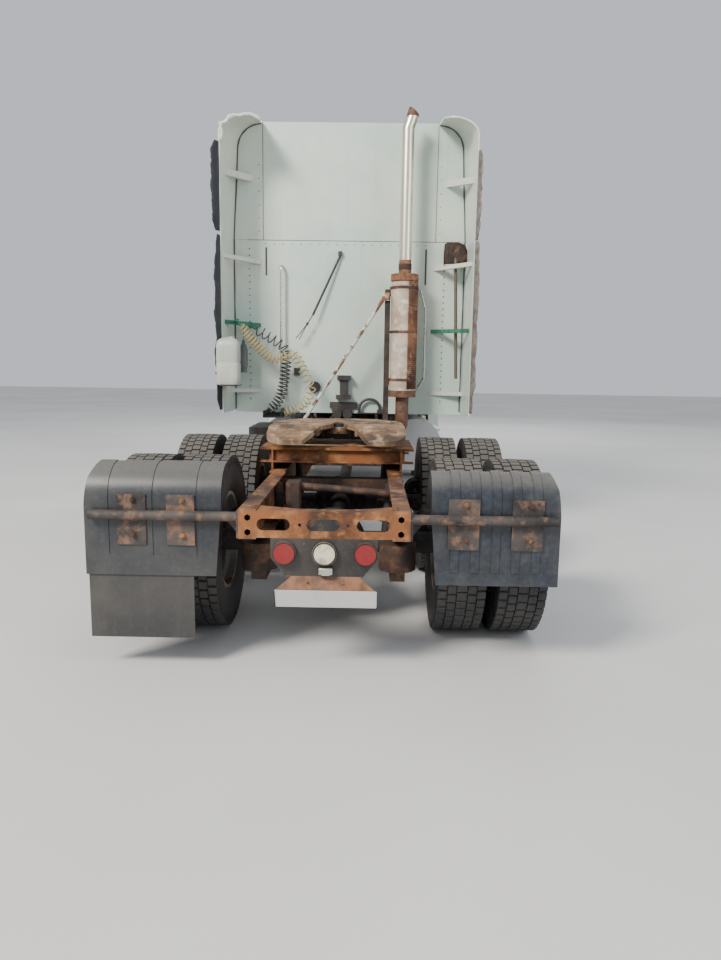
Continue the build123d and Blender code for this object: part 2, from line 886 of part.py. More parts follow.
# Mudguard arms: a tube each side, gusset at the rail, clamp plates on the guard
arm_radius = 25
arm_y = guard_rear_y - arm_radius
arm_z = 827
gusset_reach = 82
clamp_wall = 8
clamp_low_drop = 158
clamp_rise = 103
arm_places = [
    # side, tip_x, clamp_ranges
    (-1, 1194, ((910, 1059), (662, 805))),
    (1, 1177, ((624, 782), (947, 1105))),
]
with BuildPart() as mudguard_arms:
    for side, tip_x, clamp_ranges in arm_places:
        rod((side * rail_outer_x, arm_y, arm_z), (side * tip_x, arm_y, arm_z), arm_radius)
        block(
            (side * rail_outer_x, side * (rail_outer_x + 12)),
            (frame_tail_y + 10, frame_tail_y + 160),
            (rail_top_z - rail_tail_depth, rail_top_z - 13),
        )
        plate(
            rear_view(frame_tail_y + 70),
            [
                (side * rail_outer_x, arm_z - 10),
                (side * (rail_outer_x + gusset_reach), arm_z - 10),
                (side * rail_outer_x, arm_z - 110),
            ],
            8,
        )
        for clamp_low, clamp_high in clamp_ranges:
            block(
                (side * clamp_low, side * clamp_high),
                (guard_rear_y - clamp_wall, guard_rear_y),
                (arm_z - clamp_low_drop, arm_z + clamp_rise),
            )
mudguard_arms.part.label = "mudguard_arms"
export_step(mudguard_arms.part, "parts/mudguard_arms.step")

# Rubber flap under the left guard
flap_wall = 8
flap_low_z = 168
flap_lap = 90
with BuildPart() as mud_flap:
    block(
        (-left_guard["outer_x"] + guard_wall + 3, -675),
        (guard_rear_y + guard_wall, guard_rear_y + guard_wall + flap_wall),
        (flap_low_z, left_guard["low_z"] + flap_lap),
    )
mud_flap.part.label = "mud_flap"
export_step(mud_flap.part, "parts/mud_flap.step")


# Fifth wheel: mount on the rails, and the tilting plate
mount_rear_y = kingpin_y - 340
mount_front_y = kingpin_y + 300
ear_x = 405
ear_width = 25
mount_plate_top_z = mount_plate_z + mount_plate_wall
with BuildPart() as fifth_wheel_mount:
    block(
        (-mount_half_width, mount_half_width),
        (mount_rear_y, mount_front_y),
        (mount_plate_z, mount_plate_top_z),
    )
    for side in (-1, 1):
        block(
            (side * rail_outer_x, side * (rail_outer_x + 12)),
            (mount_rear_y, mount_front_y),
            (rail_bottom_z + 80, mount_plate_z),
        )
        block(
            (side * (rail_outer_x - 90), side * (rail_outer_x + 12)),
            (mount_rear_y - 100, mount_front_y + 100),
            (rail_top_z, rail_top_z + 12),
        )
        plate(
            side_view(side * ear_x),
            [
                (kingpin_y - 110, mount_plate_top_z - 1),
                (kingpin_y + 110, mount_plate_top_z - 1),
                (kingpin_y + 45, pivot_z + 38),
                (kingpin_y - 45, pivot_z + 38),
            ],
            side * ear_width,
        )
        rod((side * 345, kingpin_y, pivot_z), (side * (ear_x + ear_width), kingpin_y, pivot_z), pivot_radius)
    for web_y, toe_y in ((mount_rear_y + 30, mount_rear_y), (mount_front_y - 40, mount_front_y - 70)):
        block(
            (-mount_half_width + 60, mount_half_width - 60),
            (web_y, web_y + 10),
            (mount_plate_z - mount_web_depth, mount_plate_z),
        )
        block(
            (-mount_half_width, mount_half_width),
            (toe_y, toe_y + 70),
            (mount_plate_z - mount_web_depth - 10, mount_plate_z - mount_web_depth),
        )
fifth_wheel_mount.part.label = "fifth_wheel_mount"
export_step(fifth_wheel_mount.part, "parts/fifth_wheel_mount.step")

ramp_foot_y = kingpin_y - plate_rear - ramp_length
plate_under_z = plate_top_z - plate_thickness
rib_depth = 35
ramp_corner = 130
with BuildPart() as fifth_wheel_plate:
    with BuildSketch(Plane.XY.offset(plate_under_z)):
        with Locations((0, kingpin_y)):
            Circle(plate_radius)
        with Locations((0, kingpin_y - plate_rear / 2)):
            Rectangle(2 * plate_radius, plate_rear)
        with Locations((0, kingpin_y + plate_radius)):
            Rectangle(2 * plate_radius, 110, mode=Mode.SUBTRACT)
        with Locations((0, kingpin_y - plate_radius)):
            Rectangle(2 * plate_radius, 2 * (plate_radius - plate_rear), mode=Mode.SUBTRACT)
    extrude(amount=plate_thickness)
    plate(
        side_view(-plate_radius),
        [
            (kingpin_y - plate_rear, plate_under_z),
            (kingpin_y - plate_rear, plate_top_z),
            (ramp_foot_y, plate_top_z - ramp_drop),
            (ramp_foot_y, plate_under_z - ramp_drop),
        ],
        2 * plate_radius,
    )
    with BuildSketch(Plane.XY.offset(plate_under_z - ramp_drop - 5)):
        for side in (-1, 1):
            with Locations((side * plate_radius, ramp_foot_y)):
                Rectangle(2 * ramp_corner, 2 * ramp_corner)
            with Locations((side * (plate_radius - ramp_corner), ramp_foot_y + ramp_corner)):
                Circle(ramp_corner, mode=Mode.SUBTRACT)
    extrude(amount=ramp_drop + plate_thickness + 10, mode=Mode.SUBTRACT)
    for side in (-1, 1):
        block(
            (side * 340, side * (ear_x - 5)),
            (kingpin_y - 60, kingpin_y + 60),
            (pivot_z, plate_under_z + 1),
        )
        rod((side * 340, kingpin_y, pivot_z), (side * (ear_x - 5), kingpin_y, pivot_z), 38)
        block(
            (side * 120, side * 140),
            (kingpin_y - plate_rear - 60, kingpin_y + 300),
            (plate_under_z - rib_depth, plate_under_z + 1),
        )
        block(
            (side * (plate_radius - 18), side * plate_radius),
            (kingpin_y - plate_rear, kingpin_y + 60),
            (plate_under_z - rib_depth + 5, plate_under_z + 1),
        )
    with Locations((0, kingpin_y, plate_under_z - 45)):
        Cylinder(85, 46, align=(Align.CENTER, Align.CENTER, Align.MIN))
    with BuildSketch(Plane.XY.offset(plate_under_z - 70)):
        with BuildLine():
            Polyline(
                (-throat_half, ramp_foot_y - 5),
                (-45, kingpin_y - 150),
                (-32, kingpin_y),
                (32, kingpin_y),
                (45, kingpin_y - 150),
                (throat_half, ramp_foot_y - 5),
                close=True,
            )
        make_face()
    extrude(amount=70 + plate_thickness + 5, mode=Mode.SUBTRACT)
    with Locations((0, kingpin_y, plate_under_z - 45)):
        Cylinder(85, 45, align=(Align.CENTER, Align.CENTER, Align.MIN))
        Cylinder(32, 80, align=(Align.CENTER, Align.CENTER, Align.MIN), mode=Mode.SUBTRACT)
        Cylinder(50, 40, align=(Align.CENTER, Align.CENTER, Align.MIN))
        Cylinder(jaw_bore, 40, align=(Align.CENTER, Align.CENTER, Align.MIN), mode=Mode.SUBTRACT)
    for side in (-1, 1):
        rod(
            (side * 339, kingpin_y, pivot_z),
            (side * 410, kingpin_y, pivot_z),
            pivot_radius + run_gap,
            mode=Mode.SUBTRACT,
        )
fifth_wheel_plate.part.label = "fifth_wheel_plate"
export_step(fifth_wheel_plate.part, "parts/fifth_wheel_plate.step")


# Wheels
def wheel_axis(y):
    """Centre line of the wheels at one axle."""
    return Axis((0, y, wheel_z), (1, 0, 0))


def tyre_ring(centre_x, y):
    """One tyre: crowned tread, rounded shoulders, bulging side walls down to the bead."""
    half = tyre_width / 2
    with BuildPart() as tyre:
        with BuildSketch(rear_view(y)):
            with BuildLine():
                for side in (-1, 1):
                    bead = (centre_x + side * 99.4, wheel_z + bead_radius)
                    heel = (centre_x + side * 102.4, wheel_z + rim_flange_radius + run_gap)
                    toe = (centre_x + side * 110, wheel_z + rim_flange_radius + 1)
                    belly = (centre_x + side * half, wheel_z + 405)
                    shoulder = (centre_x + side * (half - 8), wheel_z + 470)
                    tread = (centre_x + side * (half - 32), wheel_z + tyre_radius - 5)
                    Line(bead, heel)
                    Line(heel, toe)
                    ThreePointArc(toe, belly, shoulder)
                    Line(shoulder, tread)
                ThreePointArc(
                    (centre_x - half + 32, wheel_z + tyre_radius - 5),
                    (centre_x, wheel_z + tyre_radius),
                    (centre_x + half - 32, wheel_z + tyre_radius - 5),
                )
                Line(
                    (centre_x - 99.4, wheel_z + bead_radius),
                    (centre_x + 99.4, wheel_z + bead_radius),
                )
            make_face()
        revolve(axis=wheel_axis(y))
    return tyre.part


def rim_ring(y, centre_x, disc_x):
    """One steel wheel: drop-centre barrel and the dished disc that carries it."""
    low = centre_x - rim_half_width
    high = centre_x + rim_half_width
    well = bead_radius - 20
    under = bead_radius - 32
    turn = 1 if centre_x > disc_x else -1
    near = low if turn > 0 else high
    with BuildPart() as rim:
        ring(
            wheel_axis(y),
            rear_view(y),
            [
                (low, wheel_z + rim_flange_radius),
                (low + 9, wheel_z + rim_flange_radius),
                (low + 12, wheel_z + bead_radius - run_gap),
                (low + 45, wheel_z + bead_radius - run_gap),
                (low + 62, wheel_z + well),
                (high - 62, wheel_z + well),
                (high - 45, wheel_z + bead_radius - run_gap),
                (high - 12, wheel_z + bead_radius - run_gap),
                (high - 9, wheel_z + rim_flange_radius),
                (high, wheel_z + rim_flange_radius),
                (high, wheel_z + bead_radius - 11),
                (high - 45, wheel_z + bead_radius - 12),
                (high - 66, wheel_z + under),
                (low + 66, wheel_z + under),
                (low + 45, wheel_z + bead_radius - 12),
                (low, wheel_z + bead_radius - 11),
            ],
        )
        ring(
            wheel_axis(y),
            rear_view(y),
            [
                (disc_x, wheel_z + hub_radius - 5),
                (disc_x + turn * 11, wheel_z + hub_radius - 5),
                (disc_x + turn * 11, wheel_z + 196),
                (near + turn * 62, wheel_z + bead_radius - 36),
                (near + turn * 62, wheel_z + bead_radius - 26),
                (near + turn * 40, wheel_z + bead_radius - 22),
                (disc_x, wheel_z + 205),
            ],
        )
        with BuildSketch(side_view(disc_x - 90)):
            with Locations((y, wheel_z)):
                with PolarLocations(205, stud_count):
                    Circle(21)
        extrude(amount=180, mode=Mode.SUBTRACT)
    return rim.part


def hub_body(y, side, face_x, drum_low_x, drum_high_x, spindle_end_x, cap_x):
    """Hub, drum, studs and axle flange that turn with the wheel."""
    with BuildPart() as hub:
        ring(
            wheel_axis(y),
            rear_view(y),
            [
                (side * drum_high_x, wheel_z + spindle_radius + run_gap),
                (side * spindle_end_x, wheel_z + spindle_radius + run_gap),
                (side * spindle_end_x, wheel_z),
                (side * cap_x, wheel_z),
                (side * cap_x, wheel_z + 74),
                (side * (cap_x - 14), wheel_z + 92),
                (side * (face_x + 30), wheel_z + hub_radius - 4),
                (side * (face_x + 2), wheel_z + hub_radius),
                (side * (face_x - 14), wheel_z + hub_radius),
                (side * (face_x - 24), wheel_z + 165),
                (side * (drum_high_x + 12), wheel_z + 165),
                (side * (drum_high_x + 12), wheel_z + drum_radius),
                (side * drum_low_x, wheel_z + drum_radius),
                (side * drum_low_x, wheel_z + drum_radius - 16),
                (side * drum_high_x, wheel_z + drum_radius - 16),
            ],
        )
        with BuildSketch(side_view(side * (face_x - 24))):
            with Locations((y, wheel_z)):
                with PolarLocations(stud_circle / 2, stud_count):
                    RegularPolygon(17, 6)
        extrude(amount=side * 62)
    return hub.part


drum_low = 700
drum_high = 850
for axle_name, axle_y in (("rear", rear_axle_y), ("fore", fore_axle_y)):
    for side_name, side in (("left", -1), ("right", 1)):
        with BuildPart() as tyres:
            add(tyre_ring(side * (dual_middle_x - dual_spacing / 2), axle_y))
            add(tyre_ring(side * (dual_middle_x + dual_spacing / 2), axle_y))
        tyres.part.label = f"tyres_{axle_name}_{side_name}"
        export_step(tyres.part, f"parts/tyres_{axle_name}_{side_name}.step")

        with BuildPart() as wheels:
            add(rim_ring(axle_y, side * (dual_middle_x - dual_spacing / 2), side * dual_middle_x))
            add(rim_ring(axle_y, side * (dual_middle_x + dual_spacing / 2), side * dual_middle_x))
            add(hub_body(axle_y, side, dual_middle_x + 11, drum_low, drum_high, 905, 1040))
        wheels.part.label = f"wheels_{axle_name}_{side_name}"
        export_step(wheels.part, f"parts/wheels_{axle_name}_{side_name}.step")

for side_name, side in (("left", -1), ("right", 1)):
    with BuildPart() as tyre_front:
        add(tyre_ring(side * front_tyre_x, front_axle_y))
    tyre_front.part.label = f"tyre_front_{side_name}"
    export_step(tyre_front.part, f"parts/tyre_front_{side_name}.step")

    with BuildPart() as wheel_front:
        add(rim_ring(front_axle_y, side * front_tyre_x, side * (front_disc_x - 11)))
        add(hub_body(front_axle_y, side, front_disc_x, 940, 1085, 1130, 1205))
    wheel_front.part.label = f"wheel_front_{side_name}"
    export_step(wheel_front.part, f"parts/wheel_front_{side_name}.step")

    # Knuckle: kingpin between two ears, spindle, arm to the tie rod
    with BuildPart() as knuckle:
        pin_x = side * kingpin_x
        rod((pin_x, front_axle_y, wheel_z - 105), (pin_x, front_axle_y, wheel_z + 105), 22)
        for ear_low in (-105, 62):
            block(
                (pin_x - side * 40, pin_x + side * 84),
                (front_axle_y - 45, front_axle_y + 45),
                (wheel_z + ear_low, wheel_z + ear_low + 43),
            )
        block(
            (pin_x + side * 52, pin_x + side * 84),
            (front_axle_y - 45, front_axle_y + 45),
            (wheel_z - 105, wheel_z + 105),
        )
        rod(
            (pin_x + side * 60, front_axle_y, wheel_z),
            (side * 1125, front_axle_y, wheel_z),
            spindle_radius,
        )
        block(
            (pin_x - 20, pin_x + 20),
            (front_axle_y - 200, front_axle_y - 40),
            (wheel_z - 105, wheel_z - 75),
        )
        rod(
            (pin_x, front_axle_y - 180, wheel_z - 125),
            (pin_x, front_axle_y - 180, wheel_z - 75),
            12,
        )
    knuckle.part.label = f"knuckle_{side_name}"
    export_step(knuckle.part, f"parts/knuckle_{side_name}.step")

# Tie rod between the two knuckle arms
tie_y = front_axle_y - 180
tie_z = wheel_z - 140
with BuildPart() as tie_rod:
    rod((-kingpin_x + 30, tie_y, tie_z), (kingpin_x - 30, tie_y, tie_z), 20)
    for side in (-1, 1):
        with Locations((side * kingpin_x, tie_y, tie_z + 8)):
            Cylinder(34, 50)
            Cylinder(12 + run_gap, 60, mode=Mode.SUBTRACT)
        with Locations((side * kingpin_x, tie_y, tie_z - 12)):
            Cylinder(30, 10)
tie_rod.part.label = "tie_rod"
export_step(tie_rod.part, "parts/tie_rod.step")

# Front axle beam, leaf springs, their hangers
beam_low_z = 380
beam_depth = 90
spring_x = rail_outer_x - rail_flange / 2
spring_half = 40
spring_reach = 650
ear_sweep = 85
with BuildPart() as front_axle:
    plate(
        rear_view(front_axle_y + 50),
        [
            (-kingpin_x + 25, wheel_z + 55),
            (-kingpin_x + 25, wheel_z - 55),
            (-kingpin_x + ear_sweep, wheel_z - 55),
            (-600, beam_low_z),
            (600, beam_low_z),
            (kingpin_x - ear_sweep, wheel_z - 55),
            (kingpin_x - 25, wheel_z - 55),
            (kingpin_x - 25, wheel_z + 55),
            (600, beam_low_z + beam_depth),
            (-600, beam_low_z + beam_depth),
        ],
        100,
    )
    for side in (-1, 1):
        with Locations((side * kingpin_x, front_axle_y, wheel_z)):
            Cylinder(48, 120)
            Cylinder(22 + run_gap, 130, mode=Mode.SUBTRACT)
        low_z = beam_low_z + beam_depth
        with BuildSketch(side_view(side * spring_x - spring_half)) as leaves:
            with BuildLine():
                ThreePointArc(
                    (front_axle_y - spring_reach, low_z + 90),
                    (front_axle_y, low_z),
                    (front_axle_y + spring_reach, low_z + 90),
                )
                Line(
                    (front_axle_y + spring_reach, low_z + 90),
                    (front_axle_y + spring_reach, low_z + 112),
                )
                ThreePointArc(
                    (front_axle_y + spring_reach, low_z + 112),
                    (front_axle_y, low_z + 45),
                    (front_axle_y - spring_reach, low_z + 112),
                )
                Line(
                    (front_axle_y - spring_reach, low_z + 112),
                    (front_axle_y - spring_reach, low_z + 90),
                )
            make_face()
        extrude(leaves.sketch, amount=2 * spring_half)
        for end in (-1, 1):
            end_y = front_axle_y + end * (spring_reach + 15)
            rod(
                (side * spring_x - spring_half, end_y, low_z + 100),
                (side * spring_x + spring_half, end_y, low_z + 100),
                28,
            )
            block(
                (side * spring_x - 32, side * spring_x + 32),
                (end_y - 20, end_y + 20),
                (low_z + 100, rail_bottom_z),
            )
front_axle.part.label = "front_axle"
export_step(front_axle.part, "parts/front_axle.step")

# Drive axle housings with their pinion noses and spindles
housing_radius = 66
housing_end_x = 690
with BuildPart() as rear_axles:
    for axle_y in (rear_axle_y, fore_axle_y):
        rod((-housing_end_x, axle_y, wheel_z), (housing_end_x, axle_y, wheel_z), housing_radius)
        rod((-890, axle_y, wheel_z), (890, axle_y, wheel_z), spindle_radius)
        with Locations((0, axle_y, wheel_z)):
            Sphere(205)
        rod((0, axle_y + 60, wheel_z + 20), (0, axle_y + 330, wheel_z + 20), 92)
        for side in (-1, 1):
            rod(
                (side * (housing_end_x - 12), axle_y, wheel_z),
                (side * housing_end_x, axle_y, wheel_z),
                150,
            )
    rod((0, fore_axle_y - 330, wheel_z + 20), (0, fore_axle_y - 60, wheel_z + 20), 80)
rear_axles.part.label = "rear_axles"
export_step(rear_axles.part, "parts/rear_axles.step")

# Drive shafts with their joint flanges
shaft_z = wheel_z + 20
gearbox_tail = (0, 1250, 660)
flange_length = 30
with BuildPart() as driveshafts:
    for start_y, start_z, end_y, end_z in (
        (gearbox_tail[1], gearbox_tail[2], fore_axle_y + 330, shaft_z),
        (fore_axle_y - 330, shaft_z, rear_axle_y + 330, shaft_z),
    ):
        rod((0, start_y, start_z), (0, start_y - flange_length, start_z), 76)
        rod((0, end_y, end_z), (0, end_y + flange_length, end_z), 76)
        rod((0, start_y - 15, start_z), (0, end_y + 15, end_z), 52)
driveshafts.part.label = "driveshafts"
export_step(driveshafts.part, "parts/driveshafts.step")

# Rear suspension: hangers, trailing beams under the axles, air springs, torque rod
beam_half = 42
beam_x = rail_outer_x - rail_flange / 2
torque_rod_y = rear_axle_y + 65
with BuildPart() as rear_suspension:
    for axle_y in (rear_axle_y, fore_axle_y):
        for side in (-1, 1):
            middle = side * beam_x
            low_z = wheel_z - housing_radius - 60
            block(
                (middle - beam_half, middle + beam_half),
                (axle_y - 420, axle_y + 470),
                (low_z, wheel_z - housing_radius),
            )
            block(
                (middle - beam_half, middle + beam_half),
                (axle_y + 440, axle_y + 540),
                (low_z, rail_bottom_z),
            )
            rod((middle, axle_y - 350, wheel_z - housing_radius - 1), (middle, axle_y - 350, rail_bottom_z), 105)
    rod((-236, torque_rod_y, 852), (370, torque_rod_y, 810), 23)
    block((-280, -200), (rear_axle_y - 40, torque_rod_y + 40), (wheel_z + housing_radius, 885))
    block((350, rail_inner_x), (torque_rod_y - 40, torque_rod_y + 40), (770, 850))
rear_suspension.part.label = "rear_suspension"
export_step(rear_suspension.part, "parts/rear_suspension.step")

# Engine with its gearbox, one plain block each, joined at the bell housing
with BuildPart() as engine:
    block((-300, 300), (cab_front_y + 20, 3640), (560, 1560))
    block((-210, 210), (gearbox_tail[1], cab_front_y + 21), (565, 985))
    for side in (-1, 1):
        block((side * 299, side * rail_inner_x), (2900, 3040), (700, 800))
engine.part.label = "engine"
export_step(engine.part, "parts/engine.step")

with BuildPart() as radiator:
    block((-420, 420), (3730, 3830), (rail_top_z, 1560))
radiator.part.label = "radiator"
export_step(radiator.part, "parts/radiator.step")

# Fuel tanks with straps, cradle brackets and two steps each
tank_radius = 300
tank_x = rail_outer_x + 24 + tank_radius
tank_z = 700
tank_low_y = 620
tank_high_y = 2240
with BuildPart() as fuel_tanks:
    for side in (-1, 1):
        centre_x = side * tank_x
        rod((centre_x, tank_low_y, tank_z), (centre_x, tank_high_y, tank_z), tank_radius)
        for strap_y in (800, 1430, 2060):
            rod((centre_x, strap_y - 32, tank_z), (centre_x, strap_y + 32, tank_z), tank_radius + 5)
            block(
                (side * rail_outer_x, centre_x),
                (strap_y - 35, strap_y + 35),
                (tank_z - tank_radius - 18, tank_z - tank_radius + 22),
            )
            block(
                (side * rail_outer_x, side * (rail_outer_x + 40)),
                (strap_y - 35, strap_y + 35),
                (tank_z - tank_radius - 18, rail_top_z - 30),
            )
        for step_z in (430, 790):
            block(
                (side * (tank_x + 150), side * (tank_x + tank_radius + 70)),
                (1500, 2150),
                (step_z, step_z + 28),
            )
fuel_tanks.part.label = "fuel_tanks"
export_step(fuel_tanks.part, "parts/fuel_tanks.step")

# Battery box under the left of the sleeper
with BuildPart() as battery_box:
    block((-rail_outer_x, -1010), (-380, 330), (520, 960))
battery_box.part.label = "battery_box"
export_step(battery_box.part, "parts/battery_box.step")

# Side extenders: skins that carry the sleeper's outline back past the wall
extender_reach = 560
extender_wall = 14
extender_low_z = 1150
extender_back_y = wall_y - extender_reach
extender_half_width = cab_half_width + 7
extender_top_z = 3715
ear_corner_x = 235
ear_corner_z = 150
ear_inner_x = seam_x + 3
ear_round = 110
ear_centre_y = extender_back_y + ear_round - 2
wall_roof_z, wall_corner_x, wall_corner_z, wall_waist_z, wall_lean = cab_stations[0][1:]


def extender_form(inset, overrun):
    """Space that the extenders enclose, set in by a wall and run on past both ends."""
    back = (
        extender_back_y - overrun,
        extender_half_width - inset,
        extender_top_z - inset,
        ear_corner_x - inset,
        ear_corner_z - inset,
        wall_waist_z,
        0,
    )
    front = (
        wall_y + overrun,
        cab_half_width - inset,
        wall_roof_z - inset,
        wall_corner_x - inset,
        wall_corner_z - inset,
        wall_waist_z,
        wall_lean,
    )
    return arched_loft([back, front], extender_low_z - 4 * inset)


inside_extenders = extender_form(extender_wall, 10)
with BuildPart() as side_extenders:
    add(extender_form(0, 0))
    add(inside_extenders, mode=Mode.SUBTRACT)
    with BuildSketch(Plane.XY.offset(seam_z + 40)):
        with Locations((0, wall_y - extender_reach / 2)):
            Rectangle(2 * ear_inner_x, extender_reach + 40)
        for side in (-1, 1):
            with Locations((side * (ear_inner_x + ear_round / 2), ear_centre_y - ear_round / 2)):
                Rectangle(ear_round, ear_round)
            with Locations((side * (ear_inner_x + ear_round), ear_centre_y)):
                Circle(ear_round, mode=Mode.SUBTRACT)
    extrude(amount=1200, mode=Mode.SUBTRACT)
side_extenders.part.label = "side_extenders"
export_step(side_extenders.part, "parts/side_extenders.step")

# Rubber edges on the extenders, splayed outwards
edge_wall = 6
edge_reach = 110
edge_places = [
    # side, low_z, high_z, splay
    (-1, 2744, 3488, 62),
    (-1, 1180, 2713, 45),
    (1, 2689, 3434, 36),
    (1, 1180, 2680, 50),
]
with BuildPart() as extender_edges:
    for side, low_z, high_z, splay in edge_places:
        foot_x = side * (extender_half_width - edge_wall)
        plate(
            Plane.XY.offset(low_z),
            [
                (foot_x, extender_back_y),
                (foot_x + side * edge_wall, extender_back_y),
                (foot_x + side * (edge_wall + splay), extender_back_y - edge_reach),
                (foot_x + side * splay, extender_back_y - edge_reach),
            ],
            high_z - low_z,
        )
extender_edges.part.label = "extender_edges"
export_step(extender_edges.part, "parts/extender_edges.step")

# Coiled air lines: routes from a strut's clip to the bracket under the wall
hose_radius = 8
yellow_coil_radius = 52.5
yellow_route = [
    (-990, -915, 1945),
    (-950, -885, 1880),
    (-894, -868, 1815),
    (-819, -850, 1738),
    (-728, -840, 1654),
    (-635, -835, 1644),
    (-561, -835, 1698),
    (-497, -835, 1688),
    (-450, -820, 1619),
    (-407, -800, 1531),
    (-369, -780, 1436),
    (-341, -760, 1351),
    (-369, -750, 1272),
    (-438, -740, 1206),
    (-528, -730, 1166),
    (-607, -720, 1146),
]
black_coil_radius = 56
black_route = [
    (-885, -695, 1928),
    (-818, -702, 1893),
    (-745, -715, 1850),
    (-664, -720, 1805),
    (-597, -720, 1750),
    (-575, -715, 1665),
    (-590, -715, 1570),
    (-603, -715, 1480),
    (-618, -715, 1390),
    (-640, -715, 1300),
    (-680, -715, 1222),
    (-751, -715, 1160),
]


def bend_radii(points):
    """Radius of each corner of a hose's route, as large as its two runs allow."""
    radii = []
    for before, here, after in zip(points, points[1:], points[2:]):
        run_in, run_out = Vector(*here) - Vector(*before), Vector(*after) - Vector(*here)
        half_turn = radians(run_in.get_angle(run_out)) / 2
        radii.append(0.45 * min(run_in.length, run_out.length) * cos(half_turn) / sin(half_turn))
    return radii


def beyond(route, end, reach):
    """Point past an end of a route, in line with its last run."""
    tip = Vector(*route[0]) if end == 0 else Vector(*route[-1])
    inner = Vector(*route[1]) if end == 0 else Vector(*route[-2])
    return tuple(tip + (tip - inner).normalized() * reach)


with BuildPart() as coil_yellow:
    with BuildLine() as yellow_line:
        FilletPolyline(*yellow_route, radius=bend_radii(yellow_route))
    start = Vector(*yellow_route[0])
    with BuildSketch(Plane(origin=start, z_dir=Vector(*yellow_route[1]) - start)):
        Circle(yellow_coil_radius)
    sweep(path=yellow_line.line)
coil_yellow.part.label = "coil_yellow"
export_step(coil_yellow.part, "parts/coil_yellow.step")

with BuildPart() as coil_black:
    with BuildLine() as black_line:
        FilletPolyline(*black_route, radius=bend_radii(black_route))
    start = Vector(*black_route[0])
    with BuildSketch(Plane(origin=start, z_dir=Vector(*black_route[1]) - start)):
        Circle(black_coil_radius)
    sweep(path=black_line.line)
coil_black.part.label = "coil_black"
export_step(coil_black.part, "parts/coil_black.step")

for coil_name, coil_route, coil_line, coil_body, coil_radius in (
    ("yellow coil", yellow_route, yellow_line, coil_yellow, yellow_coil_radius),
    ("black coil", black_route, black_line, coil_black, black_coil_radius),
):
    coil_length = sum(edge.length for edge in coil_line.edges())
    tube_share = coil_body.part.volume / (pi * coil_radius**2 * coil_length)
    print(coil_name, "radii", [round(radius) for radius in bend_radii(coil_route)])
    print(coil_name, "length", round(coil_length), "volume over section times length", round(tube_share, 4))

# Struts that hold the extenders off the back wall, with the coils' upper clips
strut_span = 490
short_strut_span = 120
strut_width = 60
strut_places = [
    # side, wall_x, wall_z, skin_z, reach, height
    (-1, 920, 3326, 3275, strut_span, 56),
    (-1, 840, 2560, 2557, strut_span, 36),
    (-1, 850, 1970, 1973, strut_span, 36),
    (-1, 854, 1340, 1340, short_strut_span, 36),
    (1, 906, 3294, 3223, strut_span, 56),
    (1, 811, 2520, 2509, strut_span, 36),
    (1, 798, 1933, 1922, strut_span, 36),
    (1, 785, 1338, 1338, short_strut_span, 36),
]
strut_end_x = extender_half_width - 2
with BuildPart() as extender_struts:
    for side, wall_x, wall_z, skin_z, reach, height in strut_places:
        with BuildPart(mode=Mode.PRIVATE) as strut:
            with BuildSketch(rear_view(wall_y)):
                with Locations((side * (wall_x + strut_width / 2), wall_z)):
                    Rectangle(strut_width, height)
            skin_end = Plane(
                origin=(side * strut_end_x, wall_y - reach + strut_width / 2, skin_z),
                x_dir=(0, side, 0),
                z_dir=(side, 0, 0),
            )
            with BuildSketch(skin_end):
                Rectangle(strut_width * 0.75, height)
            loft(ruled=True)
            add(inside_extenders, mode=Mode.INTERSECT)
        add(strut.part)
    rod(yellow_route[0], beyond(yellow_route, 0, 60), hose_radius)
    block((-1038, -1006), (-955, -880), (1978, 2006))
    rod(black_route[0], beyond(black_route, 0, 50), hose_radius)
    block((-946, -915), (-712, -672), (1938, 1958))
extender_struts.part.label = "extender_struts"
export_step(extender_struts.part, "parts/extender_struts.step")

# Exhaust: pipe under the cab, elbow, muffler, stack with a turned-out mouth, post
post_x = 370
post_half = 25
post_top_z = 2296
pipe_radius = 62
pipe_bend = 120
pipe_run_y = 2700
pipe_end_x = 300
band_rise = 8
band_height = 60
bend_low_z = 3700
with BuildPart() as exhaust_stack:
    rod((stack_x, stack_y, muffler_low_z), (stack_x, stack_y, muffler_top_z), muffler_radius)
    rod((stack_x, stack_y, muffler_top_z - 1), (stack_x, stack_y, bend_low_z), stack_radius)
    for band_z in (muffler_low_z - 20, muffler_top_z - 40):
        rod(
            (stack_x, stack_y, band_z),
            (stack_x, stack_y, band_z + band_height),
            muffler_radius + band_rise,
        )
    with BuildSketch(Plane.XY.offset(bend_low_z)):
        with Locations((stack_x, stack_y)):
            Circle(stack_radius)
    mouth_facing = (sin(radians(mouth_tilt)), 0, cos(radians(mouth_tilt)))
    with BuildSketch(Plane(origin=(stack_x + mouth_shift, stack_y, mouth_z), z_dir=mouth_facing)):
        Circle(stack_radius)
    loft()
    with BuildLine() as pipe_route:
        FilletPolyline(
            (stack_x, stack_y, muffler_low_z + 1),
            (stack_x, stack_y, exhaust_run_z),
            (stack_x, pipe_run_y, exhaust_run_z),
            (pipe_end_x, pipe_run_y, exhaust_run_z),
            radius=pipe_bend,
        )
    with BuildSketch(Plane(origin=(stack_x, stack_y, muffler_low_z + 1), z_dir=(0, 0, -1))):
        Circle(pipe_radius)
    sweep(path=pipe_route.line)
    block(
        (post_x - post_half, post_x + post_half),
        (stack_y - 30, stack_y + 30),
        (rail_top_z, post_top_z),
    )
    for arm_z in (1420, 2240):
        block((post_x, stack_x - muffler_radius + 12), (stack_y - 25, stack_y + 25), (arm_z, arm_z + 50))
exhaust_stack.part.label = "exhaust_stack"
export_step(exhaust_stack.part, "parts/exhaust_stack.step")

